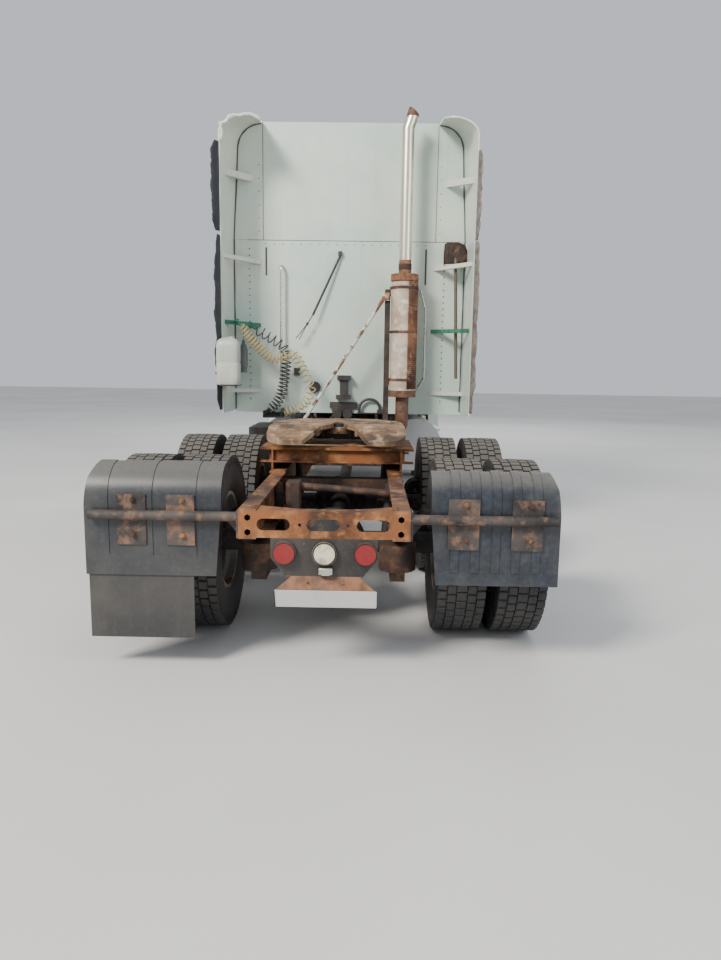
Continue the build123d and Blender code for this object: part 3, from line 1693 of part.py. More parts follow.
# Striped stay from the post down to the left rail
stay_y = stack_y - 46
stay_radius = 16
stay_top = (post_x - post_half, 2227)
stay_foot = (-rail_outer_x - 31, 988)
with BuildPart() as stay_rod:
    rod((stay_top[0], stay_y, stay_top[1]), (stay_foot[0], stay_y, stay_foot[1]), stay_radius)
    block(
        (post_x - post_half - 30, post_x + post_half - 10),
        (stay_y - stay_radius, stack_y - 30),
        (stay_top[1] - 35, stay_top[1] + 35),
    )
    block(
        (stay_foot[0] - 18, stay_foot[0] + 18),
        (stay_y - stay_radius, stay_y + stay_radius),
        (rail_top_z - 80, stay_foot[1] + 25),
    )
    block(
        (stay_foot[0] - 18, -rail_outer_x),
        (stay_y - stay_radius, stay_y + stay_radius),
        (rail_top_z - 80, rail_top_z - 50),
    )
stay_rod.part.label = "stay_rod"
export_step(stay_rod.part, "parts/stay_rod.step")

# Chrome grab handles on the back wall
handle_radius = 14
handle_reach = 70
left_handle = [
    (-643, wall_y, 1305),
    (-643, wall_y - handle_reach, 1305),
    (-643, wall_y - handle_reach, 2527),
    (-643, wall_y, 2527),
]
right_handle = [
    (682, wall_y, 1386),
    (682, wall_y - 40, 1386),
    (738, wall_y - handle_reach, 1488),
    (738, wall_y - handle_reach, 2126),
    (682, wall_y - 40, 2341),
    (682, wall_y, 2341),
]
with BuildPart() as grab_handles:
    for handle_points, bend in ((left_handle, 40), (right_handle, 22)):
        with BuildLine() as handle_route:
            FilletPolyline(*handle_points, radius=bend)
        with BuildSketch(Plane(origin=handle_points[0], z_dir=(0, -1, 0))):
            Circle(handle_radius)
        sweep(path=handle_route.line)
grab_handles.part.label = "grab_handles"
export_step(grab_handles.part, "parts/grab_handles.step")

# Line fittings on the back wall: connector block, sockets, hose arch, couplings, coil bracket
arch_y = wall_y - 45
bracket_low_x = -812
bracket_high_x = -627
bracket_y = (-745, wall_y + 10)
bracket_z = 1085
with BuildPart() as wall_fittings:
    block((-75, 5), (wall_y - 70, wall_y), (1290, 1497))
    block((-112, 33), (wall_y - 90, wall_y), (1270, 1310))
    block((-100, 30), (wall_y - 95, wall_y), (1455, 1500))
    block((-173, 94), (wall_y - 30, wall_y), (1180, 1240))
    block((-150, 50), (wall_y - 30, wall_y), (cab_floor_z, 1181))
    for socket_x in (-101, 2):
        rod((socket_x, wall_y - 75, 1122), (socket_x, wall_y - 15, 1122), 45)
    with BuildLine() as arch_route:
        FilletPolyline(
            (118, arch_y, 1136),
            (118, arch_y, 1272),
            (318, arch_y, 1272),
            (318, arch_y, 1150),
            radius=96,
        )
    with BuildSketch(Plane(origin=(118, arch_y, 1136), z_dir=(0, 0, 1))):
        Circle(14)
    sweep(path=arch_route.line)
    block((95, 345), (arch_y - 18, wall_y), (cab_floor_z, 1140))
    block((292, 344), (arch_y - 24, wall_y), (1139, 1172))
    rod((-321, wall_y - 40, 1381), (-321, wall_y, 1381), 55)
    block((-525, -470), (wall_y - 45, wall_y), (1495, 1567))
    block((-104, -68), (wall_y - 40, wall_y), (2628, 2668))
    rod(yellow_route[-1], beyond(yellow_route, 1, 30), 20)
    rod(black_route[-1], beyond(black_route, 1, 70), 20)
    block((bracket_low_x, bracket_high_x), bracket_y, (bracket_z, bracket_z + 10))
    block((bracket_low_x, bracket_high_x), (wall_y, wall_y + 10), (bracket_z, cab_floor_z))
    block((bracket_high_x - 10, bracket_high_x), (bracket_y[0], wall_y), (bracket_z, 1175))
    block((bracket_low_x, bracket_low_x + 12), (bracket_y[0], wall_y), (bracket_z, 1150))
wall_fittings.part.label = "wall_fittings"
export_step(wall_fittings.part, "parts/wall_fittings.step")

# Sprung hanger that holds the coils up, pulled tight from the wall
tender_top = (-86, wall_y - 25, 2623.4)
tender_end = (-339, -650, 2069)
tender_knot = (-392, -655, 1985)
tender_strands = [(-500, -660, 1845), (-470, -660, 1835)]
with BuildPart() as hose_tender:
    rod(tender_top, tender_end, 11)
    rod(tender_end, tender_knot, 5)
    knot_top = (tender_knot[0] + 6, tender_knot[1], tender_knot[2] + 12)
    knot_foot = (tender_knot[0] - 6, tender_knot[1], tender_knot[2] - 14)
    rod(knot_top, knot_foot, 12)
    for strand_end in tender_strands:
        rod(tender_knot, strand_end, 4)
hose_tender.part.label = "hose_tender"
export_step(hose_tender.part, "parts/hose_tender.step")

# Stowed items: water jug on its shelf, bottle hung from a strut, shovel behind the struts
shelf_z = 1406
jug_low_x = -extender_half_width - 18
jug_width = 205
jug_depth = 160
jug_height = 424
jug_y = extender_back_y - 25 - jug_depth / 2
bottle_x = -cab_half_width + 135
bottle_y = -770
bottle_hook_z = 1953.2
shovel_y = -740
shovel_top_x = cab_half_width - 121
shovel_foot_x = cab_half_width - 83
with BuildPart() as stowed_items:
    with BuildSketch(Plane.XY.offset(shelf_z)):
        with Locations((jug_low_x + jug_width / 2, jug_y)):
            RectangleRounded(jug_width, jug_depth, 50)
    extrude(amount=jug_height)
    block(
        (-cab_half_width + 10, jug_low_x + jug_width - 20),
        (jug_y - jug_depth / 2, extender_back_y + 1),
        (shelf_z - 6, shelf_z + 1),
    )
    with BuildPart(mode=Mode.PRIVATE) as shelf_root:
        block(
            (-extender_half_width, jug_low_x + jug_width - 20),
            (extender_back_y, extender_back_y + 115),
            (shelf_z - 6, shelf_z + 1),
        )
        add(inside_extenders, mode=Mode.INTERSECT)
    add(shelf_root.part)
    rod((bottle_x, bottle_y, 1513), (bottle_x, bottle_y, 1770), 38)
    rod((bottle_x, bottle_y, 1769), (bottle_x, bottle_y, 1822), 15)
    rod((bottle_x, bottle_y, 1821), (bottle_x, bottle_y, bottle_hook_z), 4)
    with BuildPart(mode=Mode.PRIVATE) as shovel_blade:
        plate(
            rear_view(shovel_y + 4),
            [
                (cab_half_width - 234, 2541),
                (cab_half_width + 20, 2557),
                (cab_half_width + 20, 2705),
                (cab_half_width - 70, 2748),
                (cab_half_width - 200, 2744),
                (cab_half_width - 230, 2718),
            ],
            8,
        )
        add(inside_extenders, mode=Mode.INTERSECT)
    add(shovel_blade.part)
    rod((shovel_foot_x, shovel_y, 1484), (shovel_top_x, shovel_y, 2600), 16)
stowed_items.part.label = "stowed_items"
export_step(stowed_items.part, "parts/stowed_items.step")

# Inside the cab: dashboard with the steering column, seats, bunk mattress
wheel_tilt = 38
steering_centre = Vector(-480, 1940, 1915)
steering_axis = Vector(0, -sin(radians(wheel_tilt)), cos(radians(wheel_tilt)))
dash_face_y = cab_front_y - cab_wall - seat_gap
with BuildPart() as dashboard:
    plate(
        side_view(-780),
        [
            (dash_face_y, 1300),
            (dash_face_y, 1700),
            (2400, 1840),
            (2220, 1860),
            (2130, 1780),
            (2150, 1640),
            (2330, 1300),
        ],
        1560,
    )
    rod(
        tuple(steering_centre - steering_axis * 400),
        tuple(steering_centre - steering_axis * 25.5),
        36,
    )
dashboard.part.label = "dashboard"
export_step(dashboard.part, "parts/dashboard.step")

with BuildPart() as seats:
    for seat_x in (-480, 480):
        with Locations((seat_x, 1480, 1590)):
            Box(520, 520, 130)
        with Locations((seat_x, 1250, 1900)):
            Box(500, 130, 640)
        block(
            (seat_x - 180, seat_x + 180),
            (1290, 1650),
            (cab_floor_z + floor_wall, 1530),
        )
seats.part.label = "seats"
export_step(seats.part, "parts/seats.step")

with BuildPart() as mattress:
    with Locations((0, wall_y + cab_wall + 420, 1650 + seat_gap + 75)):
        pad = Box(2 * (cab_half_width - cab_wall) - 20, 800, 150)
    fillet(pad.edges().filter_by(Axis.Z), 60)
mattress.part.label = "mattress"
export_step(mattress.part, "parts/mattress.step")

with BuildPart() as steering_wheel:
    with Locations(Plane(origin=steering_centre, z_dir=steering_axis)):
        Torus(225, 15)
        Cylinder(52, 50)
        for turn in (90, 210, 330):
            with Locations(Location((0, 0, 0), (0, 0, turn))):
                Box(225, 34, 14, align=(Align.MIN, Align.CENTER, Align.CENTER))
steering_wheel.part.label = "steering_wheel"
export_step(steering_wheel.part, "parts/steering_wheel.step")
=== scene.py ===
import math

import bmesh
import bpy
from mathutils import Matrix, Vector, noise


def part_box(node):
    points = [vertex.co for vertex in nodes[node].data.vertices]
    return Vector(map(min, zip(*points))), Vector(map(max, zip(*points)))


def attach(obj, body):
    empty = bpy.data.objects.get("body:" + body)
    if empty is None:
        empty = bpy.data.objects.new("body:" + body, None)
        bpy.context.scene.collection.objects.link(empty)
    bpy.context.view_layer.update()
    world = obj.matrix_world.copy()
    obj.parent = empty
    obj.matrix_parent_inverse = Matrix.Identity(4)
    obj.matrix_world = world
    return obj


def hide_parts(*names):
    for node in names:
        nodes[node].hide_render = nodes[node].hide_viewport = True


# Semi truck tractor with a high-roof sleeper, dressed over its fixed frame.
# Metres. +X is the vehicle's right, +Y its front, +Z up, ground at z = 0.

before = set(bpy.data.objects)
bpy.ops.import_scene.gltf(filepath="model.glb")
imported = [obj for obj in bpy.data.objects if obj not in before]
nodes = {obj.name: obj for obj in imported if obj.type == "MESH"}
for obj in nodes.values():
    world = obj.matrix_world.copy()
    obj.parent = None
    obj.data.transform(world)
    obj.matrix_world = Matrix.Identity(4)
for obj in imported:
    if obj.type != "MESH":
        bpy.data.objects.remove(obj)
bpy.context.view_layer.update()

# Places read from the frame
wall_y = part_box("sleeper_shell")[0].y
cab_half_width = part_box("sleeper_shell")[1].x
roof_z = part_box("sleeper_shell")[1].z
tail_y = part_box("frame_rails")[0].y
rail_outer_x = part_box("frame_rails")[1].x
rail_top_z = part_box("frame_rails")[1].z
extender_back_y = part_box("side_extenders")[0].y


# Camera at the photograph's place
camera_place = Vector((0.215, -7.655, 1.579))
camera_turn_left = math.radians(0.61)
camera_look_down = math.radians(8.95)
camera_roll = math.radians(0.85)
picture_height = 960
focal_pixels = 715
sensor_mm = 36


def set_camera():
    """Camera behind the tail, a little to the right of the middle, looking slightly down."""
    data = bpy.data.cameras.new("camera")
    data.sensor_width = sensor_mm
    data.lens = focal_pixels / picture_height * sensor_mm
    data.clip_end = 200
    camera = bpy.data.objects.new("camera", data)
    bpy.context.scene.collection.objects.link(camera)
    turn = Matrix.Rotation(camera_turn_left, 4, "Z")
    tilt = Matrix.Rotation(math.pi / 2 - camera_look_down, 4, "X")
    roll = Matrix.Rotation(camera_roll, 4, "Z")
    camera.matrix_world = Matrix.Translation(camera_place) @ turn @ tilt @ roll
    bpy.context.scene.camera = camera


# Shader wiring
class Wiring:
    """Adds nodes to a tree; an input that is a socket is linked, and any other is set."""

    def __init__(self, tree):
        self.tree = tree

    def add(self, kind, inputs=None, **settings):
        node = self.tree.nodes.new(kind)
        for name, value in settings.items():
            setattr(node, name, value)
        for name, value in (inputs or {}).items():
            self.join(value, node.inputs[name])
        return node

    def join(self, value, socket):
        if isinstance(value, bpy.types.NodeSocket):
            self.tree.links.new(value, socket)
        elif hasattr(value, "__len__") and len(value) == 3 and socket.type == "RGBA":
            socket.default_value = (*value, 1)
        else:
            socket.default_value = value

    def mix(self, factor, first, second):
        node = self.tree.nodes.new("ShaderNodeMix")
        node.data_type = "RGBA"
        for value, socket in ((factor, 0), (first, 6), (second, 7)):
            self.join(value, node.inputs[socket])
        return node.outputs[2]

    def maths(self, operation, first, second=0.0):
        node = self.add("ShaderNodeMath", operation=operation)
        self.join(first, node.inputs[0])
        self.join(second, node.inputs[1])
        return node.outputs[0]

    def between(self, value, low, high, from_zero=0.0, to_one=1.0):
        node = self.add(
            "ShaderNodeMapRange",
            {"Value": value, "From Min": low, "From Max": high, "To Min": from_zero, "To Max": to_one},
            interpolation_type="SMOOTHSTEP",
        )
        return node.outputs["Result"]

    def places(self, stretch=(1, 1, 1)):
        """Object coordinates, which are the vehicle's own, squeezed along each axis."""
        where = self.add("ShaderNodeTexCoord").outputs["Object"]
        if tuple(stretch) == (1, 1, 1):
            return where
        node = self.add("ShaderNodeMapping", {"Vector": where, "Scale": stretch})
        return node.outputs["Vector"]

    def cloud(self, scale, detail=6.0, roughness=0.6, stretch=(1, 1, 1)):
        node = self.add(
            "ShaderNodeTexNoise",
            {"Vector": self.places(stretch), "Scale": scale, "Detail": detail, "Roughness": roughness},
        )
        return node.outputs["Fac"]


def shader_group(name, inputs, outputs, fill):
    """Node group with named sockets: inputs are (name, kind, value), outputs (name, kind)."""
    group = bpy.data.node_groups.new(name, "ShaderNodeTree")
    for socket_name, kind, value in inputs:
        socket = group.interface.new_socket(socket_name, in_out="INPUT", socket_type=kind)
        socket.default_value = value
    for socket_name, kind in outputs:
        group.interface.new_socket(socket_name, in_out="OUTPUT", socket_type=kind)
    wiring = Wiring(group)
    source = wiring.add("NodeGroupInput").outputs
    results = wiring.add("NodeGroupOutput").inputs
    for socket_name, value in fill(wiring, source).items():
        wiring.join(value, results[socket_name])
    return group


FLOAT = "NodeSocketFloat"
COLOUR = "NodeSocketColor"
VECTOR = "NodeSocketVector"


def fill_dirt(wiring, source):
    """Blotches, streaks that run down, and dust on what faces up."""
    blotches = wiring.between(wiring.cloud(2.3, 8), 0.42, 0.75)
    streaks = wiring.between(wiring.cloud(14, 5, 0.65, (1, 1, 0.07)), 0.5, 0.85)
    fine = wiring.between(wiring.cloud(38, 6, 0.7), 0.45, 0.8)
    upward = wiring.add(
        "ShaderNodeSeparateXYZ", {"Vector": wiring.add("ShaderNodeNewGeometry").outputs["Normal"]}
    )
    top = wiring.between(upward.outputs["Z"], 0.35, 0.95)
    dust = wiring.maths("MULTIPLY", top, source["Dust"])
    both = wiring.maths(
        "ADD",
        wiring.maths("MULTIPLY", blotches, source["Blotches"]),
        wiring.maths("MULTIPLY", streaks, source["Streaks"]),
    )
    both = wiring.maths("ADD", both, wiring.maths("MULTIPLY", fine, source["Specks"]))
    every = wiring.add("ShaderNodeClamp", {"Value": wiring.maths("ADD", both, dust)}).outputs["Result"]
    return {"Mask": every, "Fine": fine}


dirt_group = shader_group(
    "weathered_dirt",
    [("Blotches", FLOAT, 0.3), ("Streaks", FLOAT, 0.3), ("Specks", FLOAT, 0.1), ("Dust", FLOAT, 0.4)],
    [("Mask", FLOAT), ("Fine", FLOAT)],
    fill_dirt,
)


def fill_rust(wiring, source):
    """Rust in three shades with a scaly height."""
    broad = wiring.cloud(3.5, 7, 0.62)
    scaly = wiring.cloud(46, 8, 0.72)
    middle = wiring.cloud(13, 6, 0.6)
    first = wiring.mix(wiring.between(broad, 0.38, 0.62), source["Dark"], source["Middle"])
    second = wiring.mix(wiring.between(middle, 0.48, 0.68), first, source["Light"])
    pits = wiring.between(scaly, 0.56, 0.74)
    colour = wiring.mix(wiring.maths("MULTIPLY", pits, 0.55), second, source["Dark"])
    return {"Color": colour, "Height": scaly, "Pits": pits}


rust_group = shader_group(
    "scaly_rust",
    [
        ("Dark", COLOUR, (0.06, 0.022, 0.01, 1)),
        ("Middle", COLOUR, (0.24, 0.085, 0.03, 1)),
        ("Light", COLOUR, (0.42, 0.2, 0.08, 1)),
    ],
    [("Color", COLOUR), ("Height", FLOAT), ("Pits", FLOAT)],
    fill_rust,
)


def fill_band(wiring, source):
    """A varied second colour between two places along an axis of the vehicle."""
    along = wiring.add(
        "ShaderNodeVectorMath", {0: wiring.places(), 1: source["Axis"]}, operation="DOT_PRODUCT"
    )
    place = along.outputs["Value"]
    above = wiring.maths("GREATER_THAN", place, source["Low"])
    mask = wiring.maths("MULTIPLY", above, wiring.maths("LESS_THAN", place, source["High"]))
    shade = wiring.between(wiring.cloud(16, 7, 0.65), 0.35, 0.65)
    second = wiring.mix(shade, source["Dark"], source["Light"])
    return {"Color": wiring.mix(mask, source["Color"], second), "Mask": mask}


band_group = shader_group(
    "colour_band",
    [
        ("Color", COLOUR, (1, 1, 1, 1)),
        ("Dark", COLOUR, (0, 0, 0, 1)),
        ("Light", COLOUR, (1, 1, 1, 1)),
        ("Axis", VECTOR, (0, 0, 1)),
        ("Low", FLOAT, 0.0),
        ("High", FLOAT, 1.0),
    ],
    [("Color", COLOUR), ("Mask", FLOAT)],
    fill_band,
)
band_axes = {"X": (1, 0, 0), "Z": (0, 0, 1)}


def new_material(name):
    """Empty node material: its wiring and its own Principled shader."""
    material = bpy.data.materials.new(name)
    material.use_nodes = True
    material.node_tree.nodes.clear()
    wiring = Wiring(material.node_tree)
    shader = wiring.add("ShaderNodeBsdfPrincipled")
    output = wiring.add("ShaderNodeOutputMaterial")
    wiring.join(shader.outputs["BSDF"], output.inputs["Surface"])
    return material, wiring, shader


def group_in(wiring, group, **values):
    """A shared group placed in a material with its own values."""
    node = wiring.tree.nodes.new("ShaderNodeGroup")
    node.node_tree = group
    for name, value in values.items():
        wiring.join(value, node.inputs[name])
    return node


def raise_surface(wiring, shader, height, strength, distance):
    """Bumps the shader's surface by a height."""
    bump = wiring.add("ShaderNodeBump", {"Height": height, "Strength": strength, "Distance": distance})
    wiring.join(bump.outputs["Normal"], shader.inputs["Normal"])


def banded(wiring, colour, bands):
    """Changes a colour within each band of (axis, low, high, second colour)."""
    for axis, low, high, second in bands:
        band = group_in(
            wiring,
            band_group,
            Color=colour,
            Dark=tuple(0.55 * part for part in second),
            Light=tuple(min(1, 1.2 * part) for part in second),
            Axis=band_axes[axis],
            Low=low,
            High=high,
        )
        colour = band.outputs["Color"]
    return colour


cab_middle = (0, 1.0, 2.4)


def inside_of_cab(wiring):
    """One where a face of the shell looks at the middle of the cab, and nought outside."""
    geometry = wiring.add("ShaderNodeNewGeometry")
    middle = wiring.add("ShaderNodeVectorMath", {0: wiring.places(), 1: cab_middle}, operation="SUBTRACT")
    facing = wiring.add(
        "ShaderNodeVectorMath",
        {0: geometry.outputs["Normal"], 1: middle.outputs["Vector"]},
        operation="DOT_PRODUCT",
    )
    return wiring.between(facing.outputs["Value"], 0.0, -0.02)


def worn_paint(
    name,
    paint,
    dirt,
    roughness,
    blotches,
    streaks,
    specks,
    dust,
    rust,
    second_and_sunlit_paint=None,
    coat=0.0,
    inner_trim=None,
    bands=(),
):
    """Paint under dirt, mixed in random patches between two tones, with rust coming through. On the cab and
    panels the base tone is partly painted shade and the second tone is painted sunlight.
    """
    material, wiring, shader = new_material(name)
    grime = group_in(wiring, dirt_group, Blotches=blotches, Streaks=streaks, Specks=specks, Dust=dust)
    # Random patches of the second tone: on the cab and panels, painted sunlight over a base of partly
    # painted shade
    fade = wiring.between(wiring.cloud(1.1, 3, 0.5), 0.35, 0.65)
    colour = banded(wiring, wiring.mix(fade, paint, second_and_sunlit_paint or paint), bands)
    colour = wiring.mix(grime.outputs["Mask"], colour, dirt)
    if rust:
        scale = group_in(wiring, rust_group)
        through = wiring.between(wiring.cloud(7, 9, 0.7), 0.74 - 0.3 * rust, 0.8 - 0.3 * rust)
        colour = wiring.mix(through, colour, scale.outputs["Color"])
    if inner_trim:
        colour = wiring.mix(inside_of_cab(wiring), colour, inner_trim)
    wiring.join(colour, shader.inputs["Base Color"])
    shine = wiring.between(grime.outputs["Mask"], 0, 1, roughness, min(1, roughness + 0.4))
    wiring.join(shine, shader.inputs["Roughness"])
    shader.inputs["Coat Weight"].default_value = coat
    shader.inputs["Coat Roughness"].default_value = 0.2
    raise_surface(wiring, shader, grime.outputs["Fine"], 0.12, 0.002)
    return material


def rusty_steel(name, dark, middle, light, soot, dust, bump, grime=(0.02, 0.017, 0.015)):
    """Bare rusted steel, with dirt in its blotches."""
    material, wiring, shader = new_material(name)
    rust = group_in(wiring, rust_group, Dark=dark, Middle=middle, Light=light)
    dirt = group_in(wiring, dirt_group, Blotches=soot, Streaks=soot * 0.6, Specks=0.1, Dust=dust)
    colour = wiring.mix(dirt.outputs["Mask"], rust.outputs["Color"], grime)
    wiring.join(colour, shader.inputs["Base Color"])
    wiring.join(wiring.between(rust.outputs["Pits"], 0, 1, 0.72, 0.95), shader.inputs["Roughness"])
    raise_surface(wiring, shader, rust.outputs["Height"], bump, 0.004)
    return material


def dusty_rubber(name, rubber, dust_colour, dust, blotches, roughness, grain, bands):
    """Rubber or moulded plastic, greyed by dust."""
    material, wiring, shader = new_material(name)
    dirt = group_in(wiring, dirt_group, Blotches=blotches, Streaks=0.25, Specks=0.25, Dust=dust)
    fade = wiring.between(wiring.cloud(1.7, 4, 0.5), 0.35, 0.68)
    lighter = tuple(0.7 * part + 0.3 * dusty for part, dusty in zip(rubber, dust_colour))
    # Bands of a second colour, such as the rust-coloured lower lamp panel and painted sunlight on the right
    # extender's rubber edges
    colour = banded(wiring, wiring.mix(fade, rubber, lighter), bands)
    colour = wiring.mix(dirt.outputs["Mask"], colour, dust_colour)
    wiring.join(colour, shader.inputs["Base Color"])
    wiring.join(
        wiring.between(dirt.outputs["Mask"], 0, 1, roughness - 0.2, roughness + 0.12),
        shader.inputs["Roughness"],
    )
    raise_surface(wiring, shader, wiring.cloud(grain, 4, 0.6), 0.3, 0.0015)
    return material


def dull_metal(name, metal, stain, roughness, stains, dust, brushed):
    """Bright metal gone dull, with stains."""
    material, wiring, shader = new_material(name)
    dirt = group_in(wiring, dirt_group, Blotches=stains, Streaks=stains, Specks=0.15, Dust=dust)
    wiring.join(wiring.mix(dirt.outputs["Mask"], metal, stain), shader.inputs["Base Color"])
    wiring.join(wiring.between(dirt.outputs["Mask"], 0, 0.8, 1.0, 0.15), shader.inputs["Metallic"])
    scratches = wiring.cloud(60, 6, 0.6, brushed)
    wiring.join(
        wiring.between(scratches, 0.3, 0.7, roughness, roughness + 0.22), shader.inputs["Roughness"]
    )
    raise_surface(wiring, shader, scratches, 0.08, 0.001)
    return material


def dusty_glass(name, tint, dust):
    """Clear glass under a film of dust."""
    material, wiring, shader = new_material(name)
    dirt = group_in(wiring, dirt_group, Blotches=dust, Streaks=dust, Specks=0.1, Dust=dust)
    wiring.join(wiring.mix(dirt.outputs["Mask"], tint, (0.45, 0.43, 0.38)), shader.inputs["Base Color"])
    wiring.join(wiring.between(dirt.outputs["Mask"], 0, 1, 0.05, 0.45), shader.inputs["Roughness"])
    shader.inputs["Transmission Weight"].default_value = 1.0
    shader.inputs["IOR"].default_value = 1.45
    return material


lens_ribs = 260.0
lens_roughness = 0.18


def lamp_lens(name, tint, bands=()):
    """Moulded lens with fine ribs."""
    material, wiring, shader = new_material(name)
    dirt = group_in(wiring, dirt_group, Blotches=0.05, Streaks=0.06, Specks=0.06, Dust=0.2)
    speckled = wiring.mix(wiring.cloud(25, 4), tint, tuple(0.6 * part for part in tint))
    glass = banded(wiring, speckled, bands)
    wiring.join(wiring.mix(dirt.outputs["Mask"], glass, (0.3, 0.27, 0.22)), shader.inputs["Base Color"])
    wave = wiring.add(
        "ShaderNodeTexWave", {"Vector": wiring.places(), "Scale": lens_ribs / 6.28}, bands_direction="X"
    )
    wiring.join(wiring.between(dirt.outputs["Mask"], 0, 1, lens_roughness, 0.6), shader.inputs["Roughness"])
    raise_surface(wiring, shader, wave.outputs["Fac"], 0.25, 0.001)
    shader.inputs["Coat Weight"].default_value = 0.25
    return material


cloth_threads = 420.0


def woven_cloth(name, colour, second):
    """Seat cloth with a fine weave."""
    material, wiring, shader = new_material(name)
    weave = wiring.add("ShaderNodeTexChecker", {"Vector": wiring.places(), "Scale": cloth_threads})
    wiring.join(colour, weave.inputs["Color1"])
    wiring.join(second, weave.inputs["Color2"])
    worn = wiring.between(wiring.cloud(6, 5), 0.4, 0.75)
    wiring.join(
        wiring.mix(wiring.maths("MULTIPLY", worn, 0.4), weave.outputs["Color"], second),
        shader.inputs["Base Color"],
    )
    shader.inputs["Roughness"].default_value = 0.95
    raise_surface(wiring, shader, weave.outputs["Fac"], 0.4, 0.0006)
    return material


def exhaust_steel(name):
    """Polished pipe gone tan above, scaled and rusty muffler below, dark bracket post beside it."""
    material, wiring, shader = new_material(name)
    rust = group_in(
        wiring,
        rust_group,
        Dark=(0.42, 0.31, 0.22, 1),
        Middle=(0.6, 0.53, 0.43, 1),
        Light=(0.74, 0.69, 0.6, 1),
    )
    dirt = group_in(wiring, dirt_group, Blotches=0.22, Streaks=0.3, Specks=0.15, Dust=0.0)
    colour = wiring.mix(dirt.outputs["Mask"], rust.outputs["Color"], (0.24, 0.12, 0.07))
    tan = wiring.between(wiring.cloud(9, 6, 0.6, (1, 1, 0.12)), 0.45, 0.75)
    pipe_colour = wiring.mix(tan, (0.82, 0.74, 0.62), (0.5, 0.38, 0.27))
    pipe = group_in(wiring, band_group, Axis=band_axes["Z"], Low=2.56, High=3.80).outputs["Mask"]
    colour = wiring.mix(pipe, colour, pipe_colour)
    bands = [
        ("Z", 2.36, 2.56, (0.24, 0.11, 0.055)),
        ("Z", 0.3, 1.37, (0.16, 0.08, 0.05)),
        ("Z", 3.80, 3.95, (0.16, 0.08, 0.05)),
        ("X", 0.2, 0.399, (0.055, 0.035, 0.028)),
    ]
    wiring.join(banded(wiring, colour, bands), shader.inputs["Base Color"])
    wiring.join(wiring.maths("MULTIPLY", pipe, 0.9), shader.inputs["Metallic"])
    wiring.join(wiring.between(pipe, 0, 1, 0.78, 0.3), shader.inputs["Roughness"])
    beside_pipe = wiring.maths("SUBTRACT", 1.0, pipe)
    scale = wiring.maths("MULTIPLY", rust.outputs["Height"], beside_pipe)
    raise_surface(wiring, shader, scale, 0.3, 0.003)
    return material


# Heat shield on the muffler
stack_x = 0.525
stack_y = wall_y - 0.25
shield_radius = 0.1265
hole_pitch = 0.018


def perforated_steel(name):
    """Rusty sheet with staggered rows of round holes, which are not cut but painted near black: painted
    shade behind the holes.
    """
    material, wiring, shader = new_material(name)
    rust = group_in(
        wiring,
        rust_group,
        Dark=(0.09, 0.035, 0.018, 1),
        Middle=(0.27, 0.11, 0.055, 1),
        Light=(0.42, 0.22, 0.13, 1),
    )
    place = wiring.add("ShaderNodeSeparateXYZ", {"Vector": wiring.places()})
    across = wiring.maths("SUBTRACT", place.outputs["X"], stack_x)
    back = wiring.maths("SUBTRACT", place.outputs["Y"], stack_y)
    around = wiring.maths("MULTIPLY", wiring.maths("ARCTAN2", back, across), shield_radius)
    rows = wiring.maths("MULTIPLY", place.outputs["Z"], 1 / hole_pitch)
    stagger = wiring.maths("MULTIPLY", wiring.maths("MODULO", wiring.maths("FLOOR", rows), 2.0), 0.5)
    columns = wiring.maths("ADD", wiring.maths("MULTIPLY", around, 1 / hole_pitch), stagger)
    dz = wiring.maths("SUBTRACT", wiring.maths("FRACT", rows), 0.5)
    dy = wiring.maths("SUBTRACT", wiring.maths("FRACT", columns), 0.5)
    squares = wiring.maths("ADD", wiring.maths("MULTIPLY", dz, dz), wiring.maths("MULTIPLY", dy, dy))
    away = wiring.maths("SQRT", squares)
    hole = wiring.maths("MULTIPLY", wiring.between(away, 0.32, 0.24), 0.8)
    # The holes are painted near black: painted shade, since the sheet is not cut through
    wiring.join(
        wiring.mix(hole, rust.outputs["Color"], (0.01, 0.008, 0.007)), shader.inputs["Base Color"]
    )
    shader.inputs["Roughness"].default_value = 0.8
    raise_surface(wiring, shader, wiring.maths("SUBTRACT", rust.outputs["Height"], hole), 0.5, 0.003)
    return material


# Every look by its name, from tables of what differs
looks = {}
paint_rows = [
    # name, paint, dirt, roughness, blotches, streaks, specks, dust, rust
    # white_paint and panel_paint are off-white tinted to the mint the paint shows in shade: partly painted
    # shade
    ("white_paint", (0.55, 0.67, 0.61), (0.34, 0.33, 0.27), 0.42, 0.16, 0.22, 0.08, 0.3, 0.05),
    ("panel_paint", (0.58, 0.68, 0.62), (0.36, 0.33, 0.26), 0.42, 0.2, 0.22, 0.08, 0.25, 0.05),
    ("strut_paint", (0.72, 0.72, 0.68), (0.35, 0.31, 0.25), 0.6, 0.3, 0.3, 0.2, 0.3, 0.4),
    ("striped_stay", (0.7, 0.69, 0.65), (0.05, 0.04, 0.035), 0.6, 0.4, 0.1, 0.3, 0.1, 0.85),
    ("plate_white", (0.68, 0.68, 0.66), (0.3, 0.28, 0.24), 0.35, 0.2, 0.2, 0.1, 0.1, 0.0),
    ("wheel_paint", (0.28, 0.27, 0.26), (0.12, 0.095, 0.075), 0.65, 0.6, 0.2, 0.4, 0.5, 0.7),
    ("jug_plastic", (0.46, 0.5, 0.44), (0.24, 0.22, 0.16), 0.4, 0.45, 0.4, 0.15, 0.2, 0.0),
]
